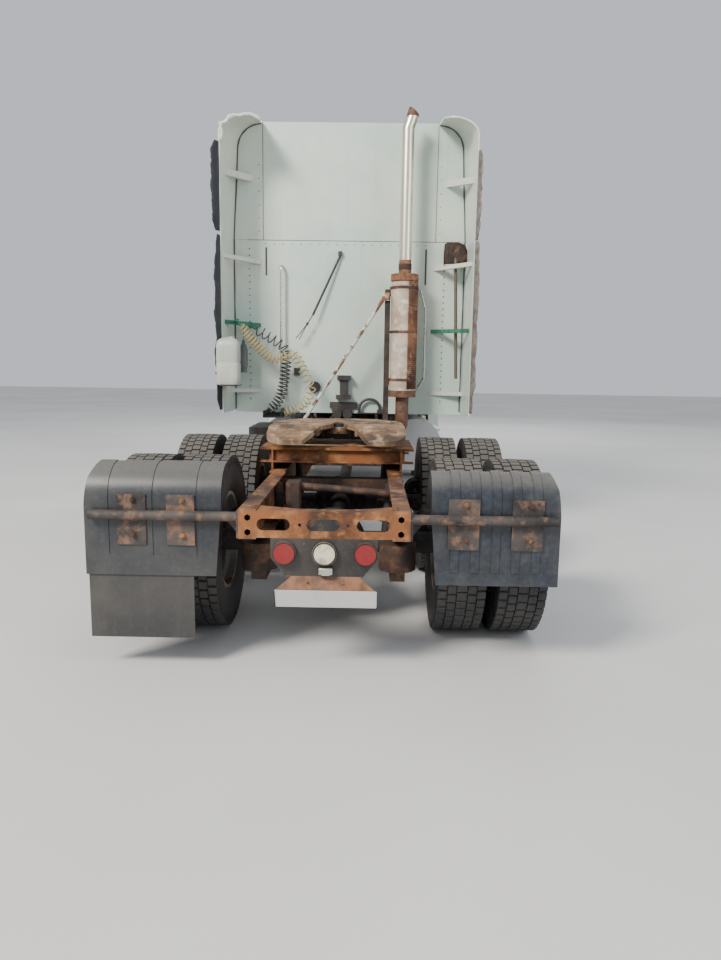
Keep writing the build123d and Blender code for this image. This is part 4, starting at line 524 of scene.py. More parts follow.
paint_extras = {
    # The second tone of white_paint and panel_paint is the cream the paint shows in sunlight: painted
    # sunlight
    "white_paint": {"second_and_sunlit_paint": (0.67, 0.73, 0.65), "coat": 0.3, "inner_trim": (0.2, 0.19, 0.18)},
    "panel_paint": {"second_and_sunlit_paint": (0.74, 0.76, 0.66), "coat": 0.3},
    "strut_paint": {"bands": [("Z", 1.86, 2.03, (0.01, 0.2, 0.13))]},
    "jug_plastic": {"second_and_sunlit_paint": (0.56, 0.58, 0.52)},
}
for name, *columns in paint_rows:
    looks[name] = worn_paint(name, *columns, **paint_extras.get(name, {}))

steel_rows = [
    # name, dark, middle, light, soot, dust, bump
    ("orange_rust", (0.07, 0.024, 0.01), (0.29, 0.105, 0.032), (0.45, 0.2, 0.075), 0.25, 0.12, 0.7),
    ("rail_rust", (0.06, 0.024, 0.013), (0.24, 0.1, 0.045), (0.4, 0.19, 0.08), 0.3, 0.25, 0.5),
    ("dark_rust", (0.02, 0.012, 0.01), (0.065, 0.034, 0.022), (0.16, 0.075, 0.038), 0.5, 0.3, 0.5),
    ("clamp_rust", (0.035, 0.02, 0.017), (0.15, 0.062, 0.038), (0.36, 0.14, 0.062), 0.25, 0.1, 0.5),
    ("tube_grime", (0.022, 0.02, 0.02), (0.075, 0.062, 0.056), (0.2, 0.11, 0.07), 0.25, 0.2, 0.5),
    ("axle_grime", (0.012, 0.012, 0.014), (0.035, 0.03, 0.03), (0.1, 0.06, 0.04), 0.5, 0.35, 0.5),
    ("throat_grease", (0.006, 0.007, 0.012), (0.016, 0.018, 0.028), (0.05, 0.045, 0.045), 0.3, 0.0, 0.5),
    ("shovel_rust", (0.02, 0.012, 0.01), (0.08, 0.04, 0.028), (0.15, 0.08, 0.05), 0.35, 0.0, 0.5),
    ("bolt_rust", (0.03, 0.015, 0.01), (0.16, 0.075, 0.04), (0.36, 0.18, 0.09), 0.15, 0.1, 0.5),
]
for name, *columns in steel_rows:
    looks[name] = rusty_steel(name, *columns)
looks["plate_grease"] = rusty_steel(
    "plate_grease", (0.07, 0.042, 0.024), (0.27, 0.16, 0.085), (0.46, 0.32, 0.2), 0.22, 0.0, 0.7,
    grime=(0.015, 0.015, 0.022),
)

rubber_rows = [
    # name, rubber, dust colour, dust, blotches, roughness, grain
    ("tyre_rubber", (0.013, 0.014, 0.018), (0.12, 0.108, 0.095), 0.8, 0.4, 0.8, 90.0),
    ("guard_rubber", (0.022, 0.026, 0.032), (0.13, 0.125, 0.115), 0.75, 0.35, 0.6, 90.0),
    ("flap_rubber", (0.036, 0.036, 0.038), (0.12, 0.11, 0.095), 0.3, 0.45, 0.8, 90.0),
    ("edge_rubber", (0.012, 0.015, 0.024), (0.05, 0.05, 0.055), 0.2, 0.25, 0.8, 90.0),
    ("seal_rubber", (0.035, 0.055, 0.052), (0.12, 0.13, 0.12), 0.2, 0.3, 0.8, 90.0),
    ("panel_finish", (0.018, 0.018, 0.02), (0.14, 0.11, 0.085), 0.4, 0.3, 0.6, 90.0),
    ("black_plastic", (0.018, 0.018, 0.02), (0.16, 0.145, 0.125), 0.5, 0.25, 0.5, 90.0),
    ("fitting_grey", (0.022, 0.022, 0.024), (0.16, 0.14, 0.115), 0.4, 0.35, 0.6, 90.0),
    ("yellow_hose", (0.55, 0.42, 0.17), (0.3, 0.25, 0.17), 0.3, 0.3, 0.5, 90.0),
    ("black_hose", (0.018, 0.02, 0.026), (0.12, 0.11, 0.1), 0.35, 0.2, 0.42, 90.0),
    ("tender_steel", (0.016, 0.019, 0.028), (0.09, 0.08, 0.075), 0.2, 0.2, 0.8, 300.0),
    ("bottle_glass", (0.1, 0.13, 0.15), (0.25, 0.24, 0.2), 0.3, 0.5, 0.3, 90.0),
    ("shovel_wood", (0.11, 0.085, 0.065), (0.2, 0.17, 0.13), 0.2, 0.5, 0.8, 30.0),
    ("seam_grime", (0.05, 0.06, 0.055), (0.16, 0.17, 0.15), 0.2, 0.5, 0.8, 90.0),
    ("cup_black", (0.012, 0.012, 0.013), (0.1, 0.085, 0.07), 0.3, 0.3, 0.8, 90.0),
    ("rivet_grey", (0.12, 0.125, 0.115), (0.2, 0.19, 0.16), 0.1, 0.35, 0.8, 90.0),
]
rubber_bands = {
    "guard_rubber": [("X", 0.3, 1.5, (0.022, 0.028, 0.04))],
    # The right extender's rubber edges are lighter taupe than the left ones: painted sunlight on the same
    # black rubber
    "edge_rubber": [("X", 0.5, 1.5, (0.2, 0.17, 0.15))],
    "panel_finish": [("Z", 0.3, 0.533, (0.24, 0.105, 0.05))],
}
for name, *columns in rubber_rows:
    looks[name] = dusty_rubber(name, *columns, bands=rubber_bands.get(name, ()))

metal_rows = [
    # name, metal, stain, roughness, stains, dust, grain along each axis
    ("bright_bolt", (0.6, 0.59, 0.56), (0.2, 0.15, 0.1), 0.3, 0.4, 0.3, (1, 1, 1)),
    ("chrome_bar", (0.7, 0.7, 0.68), (0.2, 0.17, 0.13), 0.16, 0.25, 0.3, (1, 1, 1)),
    ("tank_alloy", (0.68, 0.68, 0.69), (0.28, 0.25, 0.21), 0.3, 0.35, 0.4, (1, 0.05, 1)),
    ("radiator_fins", (0.2, 0.2, 0.2), (0.05, 0.05, 0.05), 0.5, 0.4, 0.3, (1, 1, 1)),
]
for name, *columns in metal_rows:
    looks[name] = dull_metal(name, *columns)

looks["window_glass"] = dusty_glass("window_glass", (0.55, 0.62, 0.62), 0.2)
looks["headlamp_glass"] = dusty_glass("headlamp_glass", (0.9, 0.93, 0.95), 0.12)
looks["seat_cloth"] = woven_cloth("seat_cloth", (0.09, 0.09, 0.1), (0.14, 0.135, 0.13))
looks["mattress_cloth"] = woven_cloth("mattress_cloth", (0.4, 0.42, 0.45), (0.5, 0.5, 0.48))
looks["tail_lens"] = lamp_lens("tail_lens", (0.3, 0.004, 0.006), [("X", -0.1, 0.1, (0.66, 0.6, 0.42))])
looks["amber_lens"] = lamp_lens("amber_lens", (0.7, 0.22, 0.02))
looks["stack_steel"] = exhaust_steel("stack_steel")
looks["shield_steel"] = perforated_steel("shield_steel")

# The nodes that wear each look
worn_by = {
    "white_paint": ["cab_shell", "sleeper_shell", "door_left", "door_right"],
    "panel_paint": ["hood", "side_extenders"],
    "window_glass": ["windscreen", "door_glass_left", "door_glass_right"],
    "headlamp_glass": ["headlamps"],
    "chrome_bar": ["grille", "bumper", "grab_handles"],
    "rail_rust": ["frame_rails"],
    "dark_rust": ["crossmembers", "rear_suspension"],
    "orange_rust": ["rear_crossmember", "fifth_wheel_mount"],
    "panel_finish": ["lamp_panel"],
    "plate_white": ["licence_plate"],
    "tail_lens": ["tail_lamps"],
    "guard_rubber": ["mudguards"],
    "tube_grime": ["mudguard_arms"],
    "flap_rubber": ["mud_flap"],
    "plate_grease": ["fifth_wheel_plate"],
    "axle_grime": ["tie_rod", "front_axle", "rear_axles", "driveshafts", "engine"],
    "radiator_fins": ["radiator"],
    "tank_alloy": ["fuel_tanks"],
    "black_plastic": ["battery_box", "dashboard", "steering_wheel"],
    "edge_rubber": ["extender_edges"],
    "strut_paint": ["extender_struts"],
    "stack_steel": ["exhaust_stack"],
    "striped_stay": ["stay_rod"],
    "fitting_grey": ["wall_fittings"],
    "jug_plastic": ["stowed_items"],
    "yellow_hose": ["coil_yellow"],
    "black_hose": ["coil_black"],
    "tender_steel": ["hose_tender"],
    "seat_cloth": ["seats"],
    "mattress_cloth": ["mattress"],
}
look_of = {node: look for look, wearers in worn_by.items() for node in wearers}


def finish_of(node):
    """The look of a node: its own entry, or that of its kind."""
    if node.startswith("tyre"):
        return "tyre_rubber"
    if node.startswith("wheel"):
        return "wheel_paint"
    return look_of.get(node, "axle_grime")


def finish_nodes():
    """Gives every node of the frame its finish."""
    for name, node in nodes.items():
        node.data.materials.clear()
        node.data.materials.append(looks[finish_of(name)])


# Mesh making
class Shapes:
    """Boxes, bars, rings and sheets gathered into one piece."""

    def __init__(self):
        self.mesh = bmesh.new()

    def face(self, corners):
        self.mesh.faces.new([self.mesh.verts.new(corner) for corner in corners])

    def grid(self, rows, closed=False):
        """Skin over rows of points, each row as long as the next."""
        made = [[self.mesh.verts.new(point) for point in row] for row in rows]
        pairs = list(zip(made, made[1:]))
        if closed:
            pairs.append((made[-1], made[0]))
        for row, after in pairs:
            for i in range(len(row) - 1):
                self.mesh.faces.new((row[i], row[i + 1], after[i + 1], after[i]))

    def box(self, low, high):
        centre = (Vector(low) + Vector(high)) / 2
        size = Vector(high) - Vector(low)
        matrix = Matrix.Translation(centre) @ Matrix.Diagonal((*size, 1))
        bmesh.ops.create_cube(self.mesh, size=1, matrix=matrix)

    def bar(self, start, end, radius, sides=20, end_radius=None):
        along = Vector(end) - Vector(start)
        turn = along.to_track_quat("Z", "Y").to_matrix().to_4x4()
        matrix = Matrix.Translation((Vector(start) + Vector(end)) / 2) @ turn
        bmesh.ops.create_cone(
            self.mesh,
            cap_ends=True,
            segments=sides,
            radius1=radius,
            radius2=radius if end_radius is None else end_radius,
            depth=along.length,
            matrix=matrix,
        )

    def nut(self, centre, direction, radius, height):
        """Six-sided nut or bolt head on a surface."""
        start = Vector(centre)
        self.bar(start, start + Vector(direction).normalized() * height, radius, 6)

    def dome(self, centre, direction, radius, height, sides=8):
        """Rivet head."""
        axis = Vector(direction).normalized()
        turn = axis.to_track_quat("Z", "Y").to_matrix()
        rows = []
        for share in (1.0, 0.75, 0.4):
            rise = height * math.sqrt(1 - share * share * 0.98)
            rows.append(
                [
                    Vector(centre) + turn @ Vector(
                        (math.cos(a) * radius * share, math.sin(a) * radius * share, rise)
                    )
                    for a in (math.tau * i / sides for i in range(sides + 1))
                ]
            )
        rows.append([Vector(centre) + axis * height] * (sides + 1))
        self.grid(rows)

    def lathe(self, centre, axis, profile, sides=48):
        """Profile of (along, radius) points turned about an axis."""
        turn = Vector(axis).normalized().to_track_quat("Z", "Y").to_matrix()
        rows = []
        for i in range(sides):
            angle = math.tau * i / sides
            rows.append(
                [
                    Vector(centre) + turn @ Vector((math.cos(angle) * r, math.sin(angle) * r, along))
                    for along, r in profile
                ]
            )
        self.grid(rows, closed=True)

    def piece(self, name, body, look, smooth=True, bevel=0.0, thickness=0.0, stands_for=()):
        """Turns what was gathered into an object that rides on a body."""
        bmesh.ops.remove_doubles(self.mesh, verts=self.mesh.verts, dist=1e-5)
        bmesh.ops.recalc_face_normals(self.mesh, faces=self.mesh.faces)
        data = bpy.data.meshes.new(name)
        self.mesh.to_mesh(data)
        self.mesh.free()
        data.materials.append(looks[look])
        made = bpy.data.objects.new(name, data)
        bpy.context.scene.collection.objects.link(made)
        if thickness:
            shell = made.modifiers.new("thickness", "SOLIDIFY")
            shell.thickness = thickness
            shell.offset = 0
        if bevel:
            edge = made.modifiers.new("edge", "BEVEL")
            edge.width = bevel
            edge.segments = 2
            edge.limit_method = "ANGLE"
        if smooth:
            data.shade_smooth()
            data.set_sharp_from_angle(angle=math.radians(38))
        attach(made, body)
        if stands_for:
            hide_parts(*stands_for)
        return made


# Coiled air lines on the back wall
yellow_route = [
    (-0.990, -0.915, 1.945),
    (-0.950, -0.885, 1.880),
    (-0.894, -0.868, 1.815),
    (-0.819, -0.850, 1.738),
    (-0.728, -0.840, 1.654),
    (-0.635, -0.835, 1.644),
    (-0.561, -0.835, 1.698),
    (-0.497, -0.835, 1.688),
    (-0.450, -0.820, 1.619),
    (-0.407, -0.800, 1.531),
    (-0.369, -0.780, 1.436),
    (-0.341, -0.760, 1.351),
    (-0.369, -0.750, 1.272),
    (-0.438, -0.740, 1.206),
    (-0.528, -0.730, 1.166),
    (-0.607, -0.720, 1.146),
]
black_route = [
    (-0.885, -0.695, 1.928),
    (-0.818, -0.702, 1.893),
    (-0.745, -0.715, 1.850),
    (-0.664, -0.720, 1.805),
    (-0.597, -0.720, 1.750),
    (-0.575, -0.715, 1.665),
    (-0.590, -0.715, 1.570),
    (-0.603, -0.715, 1.480),
    (-0.618, -0.715, 1.390),
    (-0.640, -0.715, 1.300),
    (-0.680, -0.715, 1.222),
    (-0.751, -0.715, 1.160),
]
hose_radius = 0.006
points_per_turn = 14
opening_turns = 0.35
steps_per_stretch = 24


def spline_object(name, points, thickness=0.0):
    """Open smooth curve through the vehicle's space, round in section where it has a thickness."""
    data = bpy.data.curves.new(name, "CURVE")
    data.dimensions = "3D"
    spline = data.splines.new("NURBS")
    spline.points.add(len(points) - 1)
    for point, place in zip(spline.points, points):
        point.co = (*place, 1)
    spline.order_u = 3
    spline.use_endpoint_u = True
    spline.resolution_u = 3
    data.bevel_depth = thickness
    data.bevel_resolution = 2
    made = bpy.data.objects.new(name, data)
    bpy.context.scene.collection.objects.link(made)
    return made


def line_points(route):
    """Points along the smooth curve of a route, evenly read from its mesh."""
    guide = spline_object("route_guide", route)
    guide.data.splines[0].resolution_u = 24
    mesh = bpy.data.meshes.new_from_object(guide.evaluated_get(bpy.context.evaluated_depsgraph_get()))
    points = [vertex.co.copy() for vertex in mesh.vertices]
    bpy.data.objects.remove(guide, do_unlink=True)
    bpy.data.meshes.remove(mesh)
    return points


def curly_line(route, coil_radius, pitches):
    """Helix about a route; pitches are (share of the route, distance from turn to turn)."""
    line = line_points(route)
    stretches = list(zip(line, line[1:]))
    whole = sum((after - before).length for before, after in stretches)
    steps = []
    side = Vector((0, 1, 0))
    travelled, turned = 0.0, 0.0
    for before, after in stretches:
        along = (after - before).normalized()
        side = (side - along * side.dot(along)).normalized()
        step = (after - before).length / steps_per_stretch
        for i in range(steps_per_stretch):
            travelled += step
            share = travelled / whole
            turned += step / next(pitch for end, pitch in pitches if share <= end + 0.001)
            steps.append(
                (before.lerp(after, (i + 1) / steps_per_stretch), side, along.cross(side), turned)
            )
    helix = [line[0]]
    placed = 0.0
    for centre, side, up, turns in steps:
        if turns - placed < 1 / points_per_turn or turned - turns < 0.5 / points_per_turn:
            continue
        placed = turns
        opening = min(1, turns / opening_turns, (turned - turns) / opening_turns)
        wander = min(1.04, 1 + 0.05 * math.sin(turns * 2.1) + 0.04 * math.sin(turns * 5.3))
        angle = math.tau * turns
        outward = side * math.cos(angle) + up * math.sin(angle)
        helix.append(centre + outward * coil_radius * opening * wander)
    helix.append(line[-1])
    return helix


def curve_length(points):
    """Length of the smooth curve that has these control points."""
    line = line_points(points)
    return sum((after - before).length for before, after in zip(line, line[1:]))


def build_coil(name, route, coil_radius, pitches, look):
    """One coiled hose between its clip on the strut and the bracket under the wall."""
    helix = curly_line(route, coil_radius, pitches)
    hose = spline_object(name, helix, hose_radius)
    hose.data.materials.append(looks[look])
    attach(hose, "chassis")
    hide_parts("coil_yellow" if route is yellow_route else "coil_black")
    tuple(route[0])
    round(curve_length(helix), 2)


def build_coils():
    """Both coiled hoses, dense where they hang together and open where they are pulled."""
    build_coil(
        "yellow_air_hose",
        yellow_route,
        0.044,
        [(0.40, 0.034), (0.62, 0.046), (0.80, 0.062), (1.0, 0.040)],
        "yellow_hose",
    )
    build_coil(
        "black_air_hose",
        black_route,
        0.047,
        [(0.34, 0.064), (0.48, 0.046), (1.0, 0.037)],
        "black_hose",
    )


# Tyres and wheels
tyre_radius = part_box("tyre_front_left")[1].z / 2
tyre_half = 0.14
tread_depth = 0.014
block_sink = 0.008
block_clearance = 0.0006
crown_drop = 0.004
carcass_sides = 72
drive_blocks = 54
steer_blocks = 40
drive_rows = [
    # low, high, skew, gap between blocks
    (-0.131, -0.086, 0.0, 0.26),
    (-0.078, -0.034, 0.42, 0.24),
    (-0.027, 0.027, 0.18, 0.22),
    (0.034, 0.078, 0.42, 0.24),
    (0.086, 0.131, 0.0, 0.26),
]
steer_rows = [
    # low, high, skew, gap between blocks
    (-0.131, -0.088, 0.0, 0.02),
    (-0.079, -0.034, 0.5, 0.03),
    (-0.025, 0.025, 0.25, 0.03),
    (0.034, 0.079, 0.5, 0.03),
    (0.088, 0.131, 0.0, 0.02),
]


def tyre_profile():
    """Half-section of a tyre as (sideways, radius), from one bead round to the other."""
    outer = [
        (0.0994, 0.2872),
        (0.1024, 0.2985),
        (0.110, 0.300),
        (0.1275, 0.330),
        (0.1372, 0.365),
        (0.1398, 0.400),
        (0.1388, 0.430),
        (0.1370, 0.448),
        (0.1372, 0.452),
        (0.1330, 0.470),
        (0.1325, 0.490),
        (0.1180, tyre_radius - tread_depth - 0.004),
        (0.06, tyre_radius - tread_depth),
    ]
    return outer + [(-along, radius) for along, radius in reversed(outer)]


def tyre_point(centre, angle, along, radius):
    """Point on a tyre at an angle about its axle."""
    return Vector(centre) + Vector((along, math.cos(angle) * radius, math.sin(angle) * radius))


def add_block(shapes, centre, angle, span, low, high):
    """One tread block that stands on the carcass."""
    foot_radius = tyre_radius - tread_depth - block_sink
    crown = crown_drop * (abs(low + high) / (2 * tyre_half)) ** 2
    corners = [
        (side_angle, along)
        for side_angle in (angle - span, angle + span) for along in (low, high)
    ]
    foot = [tyre_point(centre, a, x, foot_radius) for a, x in corners]
    top = [tyre_point(centre, a, x, tyre_radius - crown - block_clearance) for a, x in corners]
    shapes.face([top[0], top[1], top[3], top[2]])
    for i, j in ((0, 1), (1, 3), (3, 2), (2, 0)):
        shapes.face([foot[i], foot[j], top[j], top[i]])


def add_shoulder_lug(shapes, centre, angle, span, side):
    """Flat lug on a tyre's shoulder, between two blocks."""
    lug = [
        tyre_point(centre, side_angle, side * along, radius)
        for radius, along in ((0.468, 0.1375), (tyre_radius - 0.012, 0.131))
        for side_angle in (angle - span, angle + span)
    ]
    shapes.face([lug[0], lug[1], lug[3], lug[2]])


def add_tyre(shapes, centre, blocks, rows, shoulder_lugs):
    """Carcass with its side walls, and its tread."""
    shapes.lathe(centre, (1, 0, 0), tyre_profile(), carcass_sides)
    pitch = math.tau / blocks
    for k in range(blocks):
        for low, high, skew, gap in rows:
            add_block(shapes, centre, pitch * (k + skew), pitch * (1 - gap) / 2, low, high)
        if shoulder_lugs:
            for side in (-1, 1):
                add_shoulder_lug(shapes, centre, pitch * (k + 0.5), pitch * 0.3, side)


def wheel_body(name):
    """The body that a wheel's or tyre's node turns with, such as fore_wheels_left."""
    kind, place, side = name.split("_")
    return f"{place}_wheels_{side}" if kind.endswith("s") else f"{place}_wheel_{side}"


def build_tyres():
    """Treaded tyres in place of the plain ones, two to a body behind and one in front."""
    for name in sorted(nodes):
        if not name.startswith("tyre"):
            continue
        low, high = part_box(name)
        axle_y = (low.y + high.y) / 2
        shapes = Shapes()
        if name.startswith("tyres"):
            for centre_x in (low.x + tyre_half, high.x - tyre_half):
                add_tyre(shapes, (centre_x, axle_y, tyre_radius), drive_blocks, drive_rows, True)
        else:
            centre_x = (low.x + high.x) / 2
            add_tyre(shapes, (centre_x, axle_y, tyre_radius), steer_blocks, steer_rows, False)
        shapes.piece("tread_" + name, wheel_body(name), "tyre_rubber", stands_for=[name])


nuts_per_wheel = 10
nut_circle = 0.1429
hub_circle = 0.058
front_disc_x = 1.15
drive_disc_x = 0.922
drive_flange_x = 1.04
stud_length = 0.044


def build_wheel_nuts():
    """Ten nuts on each wheel's studs, and the ring of bolts on the hub's flange."""
    for name in sorted(nodes):
        if not name.startswith("wheel"):
            continue
        low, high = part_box(name)
        axle_y = (low.y + high.y) / 2
        side = 1 if low.x > 0 else -1
        front = name.startswith("wheel_front")
        flange_x = max(abs(low.x), abs(high.x)) if front else drive_flange_x
        disc_x = front_disc_x if front else drive_disc_x
        outward = (side, 0, 0)
        shapes = Shapes()
        for k in range(nuts_per_wheel):
            angle = math.tau * (k + 0.5) / nuts_per_wheel
            across, up = math.cos(angle), math.sin(angle)
            stud = Vector((side * disc_x, axle_y + across * nut_circle, tyre_radius + up * nut_circle))
            shapes.bar(stud, stud + Vector(outward) * stud_length, 0.010, 8)
            shapes.nut(stud, outward, 0.021, 0.024)
            bolt = (
                side * (flange_x - 0.002), axle_y + across * hub_circle, tyre_radius + up * hub_circle
            )
            shapes.nut(bolt, outward, 0.008, 0.002)
        shapes.piece("nuts_" + name, wheel_body(name), "bolt_rust")


# Back wall
seam_z = 2.767
backward = (0, -1, 0)
upright = (0, 0, 1)


def steps_from(start, end, step):
    """Places from a start up to an end, one step apart."""
    place = start
    while place < end:
        yield place
        place += step


def build_wall_rivets():
    """Two columns of large rivets, a row under the seam and two columns above it."""
    rivets = Shapes()
    for column_x, pitch in ((-0.956, 0.062), (0.911, 0.059)):
        for z in steps_from(1.26, 2.69, pitch):
            rivets.dome((column_x, wall_y, z), backward, 0.0075, 0.004)
    for x in steps_from(-0.80, 0.81, 0.085):
        rivets.dome((x, wall_y, seam_z - 0.035), backward, 0.006, 0.003)
    for side in (-1, 1):
        for z in steps_from(seam_z + 0.08, 3.5, 0.12):
            rivets.dome((side * 0.86, wall_y, z), backward, 0.006, 0.003)
    rivets.piece("wall_rivets", "chassis", "rivet_grey")


def build_wall_slots():
    """Two upright slots near the corners and a narrow one low on the left, drawn as thin dark strips on the
    wall: painted shade for the openings.
    """
    slots = Shapes()
    for slot_x, low, high in ((-0.795, 2.44, 2.70), (0.734, 2.37, 2.70)):
        slots.box((slot_x - 0.008, wall_y - 0.003, low), (slot_x + 0.008, wall_y, high))
    slots.box((-0.6, wall_y - 0.002, 1.30), (-0.595, wall_y, 1.62))
    # The dark seal rubber stands in for the shade inside the slots: painted shade
    slots.piece("wall_slots", "chassis", "seal_rubber")


def build_wall_seams():
    """The seam across the wall and the two that rise from it."""
    half, rise = 0.002, 0.0015
    seams = Shapes()
    seams.box((-0.975, wall_y - rise, seam_z - half), (0.955, wall_y, seam_z + half))
    for side in (-1, 1):
        seam_x = side * 0.822
        seams.box((seam_x - half, wall_y - rise, seam_z), (seam_x + half, wall_y, roof_z - 0.03))
    seams.piece("wall_seams", "chassis", "seam_grime")


def seal_path():
    """(x, z) points up the wall's right corner and round under its roof."""
    inner_x = cab_half_width - 0.014
    path = [(inner_x, 1.16 + 0.1 * i) for i in range(17)]
    path += [(inner_x - 0.045 * share, 2.77 + 0.82 * share) for share in (0, 0.25, 0.5, 0.75)]
    for k in range(13):
        angle = math.radians(7.5 * k)
        path.append((0.835 + 0.226 * math.cos(angle), 3.59 + 0.224 * math.sin(angle)))
    return path


def build_wall_seals():
    """Seals in both corners of the wall, a little uneven in width."""
    path = seal_path()
    seals = Shapes()
    for side in (-1, 1):
        rows = []
        for k, (x, z) in enumerate(path):
            before, after = path[max(k - 1, 0)], path[min(k + 1, len(path) - 1)]
            run = Vector((after[0] - before[0], 0, after[1] - before[1])).normalized()
            inward = Vector((-run.z, 0, run.x))
            width = 0.011 + 0.002 * math.sin(k * 1.7)
            section = (
                (0, 0.0005), (width, 0.0005), (width * 0.8, 0.009), (width * 0.2, 0.012), (0, 0.012)
            )
            points = []
            for reach, rise in section:
                point = Vector((x, wall_y - rise, z)) + inward * reach
                points.append((side * point.x, point.y, point.z))
            rows.append(points)
        seals.grid(rows)
    seals.piece("wall_seals", "chassis", "seal_rubber")


# Rubber edges on the extenders, worn ragged
rubber_steps = 60
longest_reach = 0.109
rubber_thickness = 0.005


def build_rubber_edges():
    """Four thin strips, straight where they are held and ragged at their free edge."""
    strips = Shapes()
    held_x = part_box("side_extenders")[1].x - 0.003
    places = [
        # side, low, high, splay, narrowest reach, widest reach
        (-1, 2.744, 3.488, 0.060, 0.085, 0.108),
        (-1, 1.180, 2.713, 0.043, 0.070, 0.108),
        (1, 2.689, 3.434, 0.034, 0.060, 0.108),
        (1, 1.180, 2.680, 0.048, 0.045, 0.108),
    ]
    for side, low, high, splay, narrow, wide in places:
        rows = []
        for i in range(rubber_steps + 1):
            along = i / rubber_steps
            z = low + (high - low) * along
            ragged = noise.noise(Vector((z * 5, side * 3.0, low))) * 0.5 + 0.5
            nicks = noise.noise(Vector((z * 31, side, 1.0))) * 0.009
            rounded_end = 0.35 + 0.65 * min(1, 5 * along + 0.2, 6 * (1 - along) + 0.25)
            reach = min(narrow + (wide - narrow) * ragged + nicks, longest_reach) * rounded_end
            ripple = 0.005 * math.sin(z * 17 + side) + 0.003 * math.sin(z * 41)
            row = []
            for share in (0, 0.33, 0.66, 1):
                x = held_x + splay * share**1.3 * reach / 0.11 + ripple * share - 0.002 * share
                row.append((side * x, extender_back_y + 0.003 - reach * share, z))
            rows.append(row)
        strips.grid(rows)
    strips.piece(
        "rubber_edges",
        "chassis",
        "edge_rubber",
        thickness=rubber_thickness,
        stands_for=["extender_edges"],
    )


# Torn lip of the left ear, as (x, z) along its broken edge
torn_outline = [
    (-0.748, 3.671),
    (-0.786, 3.702),
    (-0.847, 3.727),
    (-0.908, 3.723),
    (-0.939, 3.712),
    (-0.992, 3.716),
    (-1.038, 3.703),
    (-1.058, 3.667),
    (-1.070, 3.655),
    (-1.100, 3.650),
    (-1.122, 3.645),
    (-1.116, 3.620),
    (-1.105, 3.584),
    (-1.110, 3.534),
    (-1.124, 3.491),
]
ear_middle = Vector((-0.86, 0, 3.46))


def build_torn_lip():
    """Ragged fibreglass left standing along the left ear's back edge."""
    rows = []
    for x, z in torn_outline:
        edge = Vector((x, extender_back_y - 0.0015, z))
        inward = Vector((ear_middle.x - x, 0, ear_middle.z - z)).normalized()
        rows.append([edge, edge + inward * 0.012, edge + inward * 0.026 + Vector((0, 0.003, 0))])
    lip = Shapes()
    lip.grid(rows)
    lip.piece("torn_lip", "chassis", "panel_paint", thickness=0.003)


# Stowed items behind the struts
shelf_z = 1.406
jug_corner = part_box("stowed_items")[0]
jug_left, jug_right = jug_corner.x, jug_corner.x + 0.205
jug_near, jug_far = jug_corner.y, jug_corner.y + 0.16
jug_squareness = 0.45
jug_levels = [
    # height above the shelf, inset from the jug's full size
    (0, 0.016),
    (0.006, 0.006),
    (0.02, 0.001),
    (0.05, 0.0),
    (0.19, 0.001),
    (0.2, 0.004),
    (0.21, 0.001),
    (0.34, 0.0),
    (0.38, 0.008),
    (0.40, 0.026),
    (0.412, 0.05),
    (0.418, 0.07),
]


def build_jug():
    """Square water jug with rounded corners, a waist and a cap."""
    sides = 40
    middle_x, middle_y = (jug_left + jug_right) / 2, (jug_near + jug_far) / 2
    rows = [[(middle_x, middle_y, shelf_z)] * (sides + 1)]
    for height, inset in jug_levels:
        wide = (jug_right - jug_left) / 2 - inset
        deep = (jug_far - jug_near) / 2 - inset
        row = []
        for k in range(sides + 1):
            across, back = math.cos(math.tau * k / sides), math.sin(math.tau * k / sides)
            x = middle_x + wide * math.copysign(abs(across) ** jug_squareness, across)
            y = middle_y + deep * math.copysign(abs(back) ** jug_squareness, back)
            row.append((x, y, shelf_z + height))
        rows.append(row)
    rows.append([(middle_x, middle_y, shelf_z + 0.419)] * (sides + 1))
    jug = Shapes()
    jug.grid(rows)
    cap_x = middle_x + 0.03
    jug.bar((cap_x, middle_y, shelf_z + 0.41), (cap_x, middle_y, shelf_z + 0.424), 0.026)
    jug.piece("water_jug", "chassis", "jug_plastic", stands_for=["stowed_items"])


def build_jug_shelf():
    """Thin shelf under the jug, and the two straps that hold it."""
    shelf = Shapes()
    shelf.box((-1.108, jug_near, shelf_z - 0.006), (jug_right - 0.02, jug_far + 0.12, shelf_z))
    for strap_z in (shelf_z + 0.1, shelf_z + 0.31):
        shelf.box((jug_left, jug_near, strap_z), (jug_left + 0.002, jug_far, strap_z + 0.012))
    shelf.piece("jug_shelf", "chassis", "dark_rust")


bottle_x, bottle_y = -0.985, -0.770
string_top_z = 1.953
bottle_profile = [
    # height, radius
    (1.513, 0.0),
    (1.513, 0.024),
    (1.517, 0.031),
    (1.548, 0.031),
    (1.556, 0.034),
    (1.575, 0.038),
    (1.70, 0.038),
    (1.735, 0.037),
    (1.765, 0.030),
    (1.79, 0.017),
    (1.822, 0.014),
    (1.822, 0.0),
]


def build_bottle():
    """Bottle that hangs by a string."""
    bottle = Shapes()
    bottle.lathe((bottle_x, bottle_y, 0), upright, bottle_profile, 28)
    bottle.bar((bottle_x, bottle_y, 1.82), (bottle_x, bottle_y, string_top_z), 0.0025, 8)
    bottle.piece("hung_bottle", "chassis", "bottle_glass")


shovel_y = -0.740
blade_edge_x = cab_half_width - 0.012
blade_outline = [
    (cab_half_width - 0.234, 2.541),
    (cab_half_width - 0.120, 2.546),
    (blade_edge_x - 0.004, 2.556),
    (blade_edge_x - 0.002, 2.66),
    (blade_edge_x - 0.028, 2.718),
    (blade_edge_x - 0.09, 2.742),
    (cab_half_width - 0.195, 2.741),
    (cab_half_width - 0.228, 2.722),
    (cab_half_width - 0.236, 2.64),
]


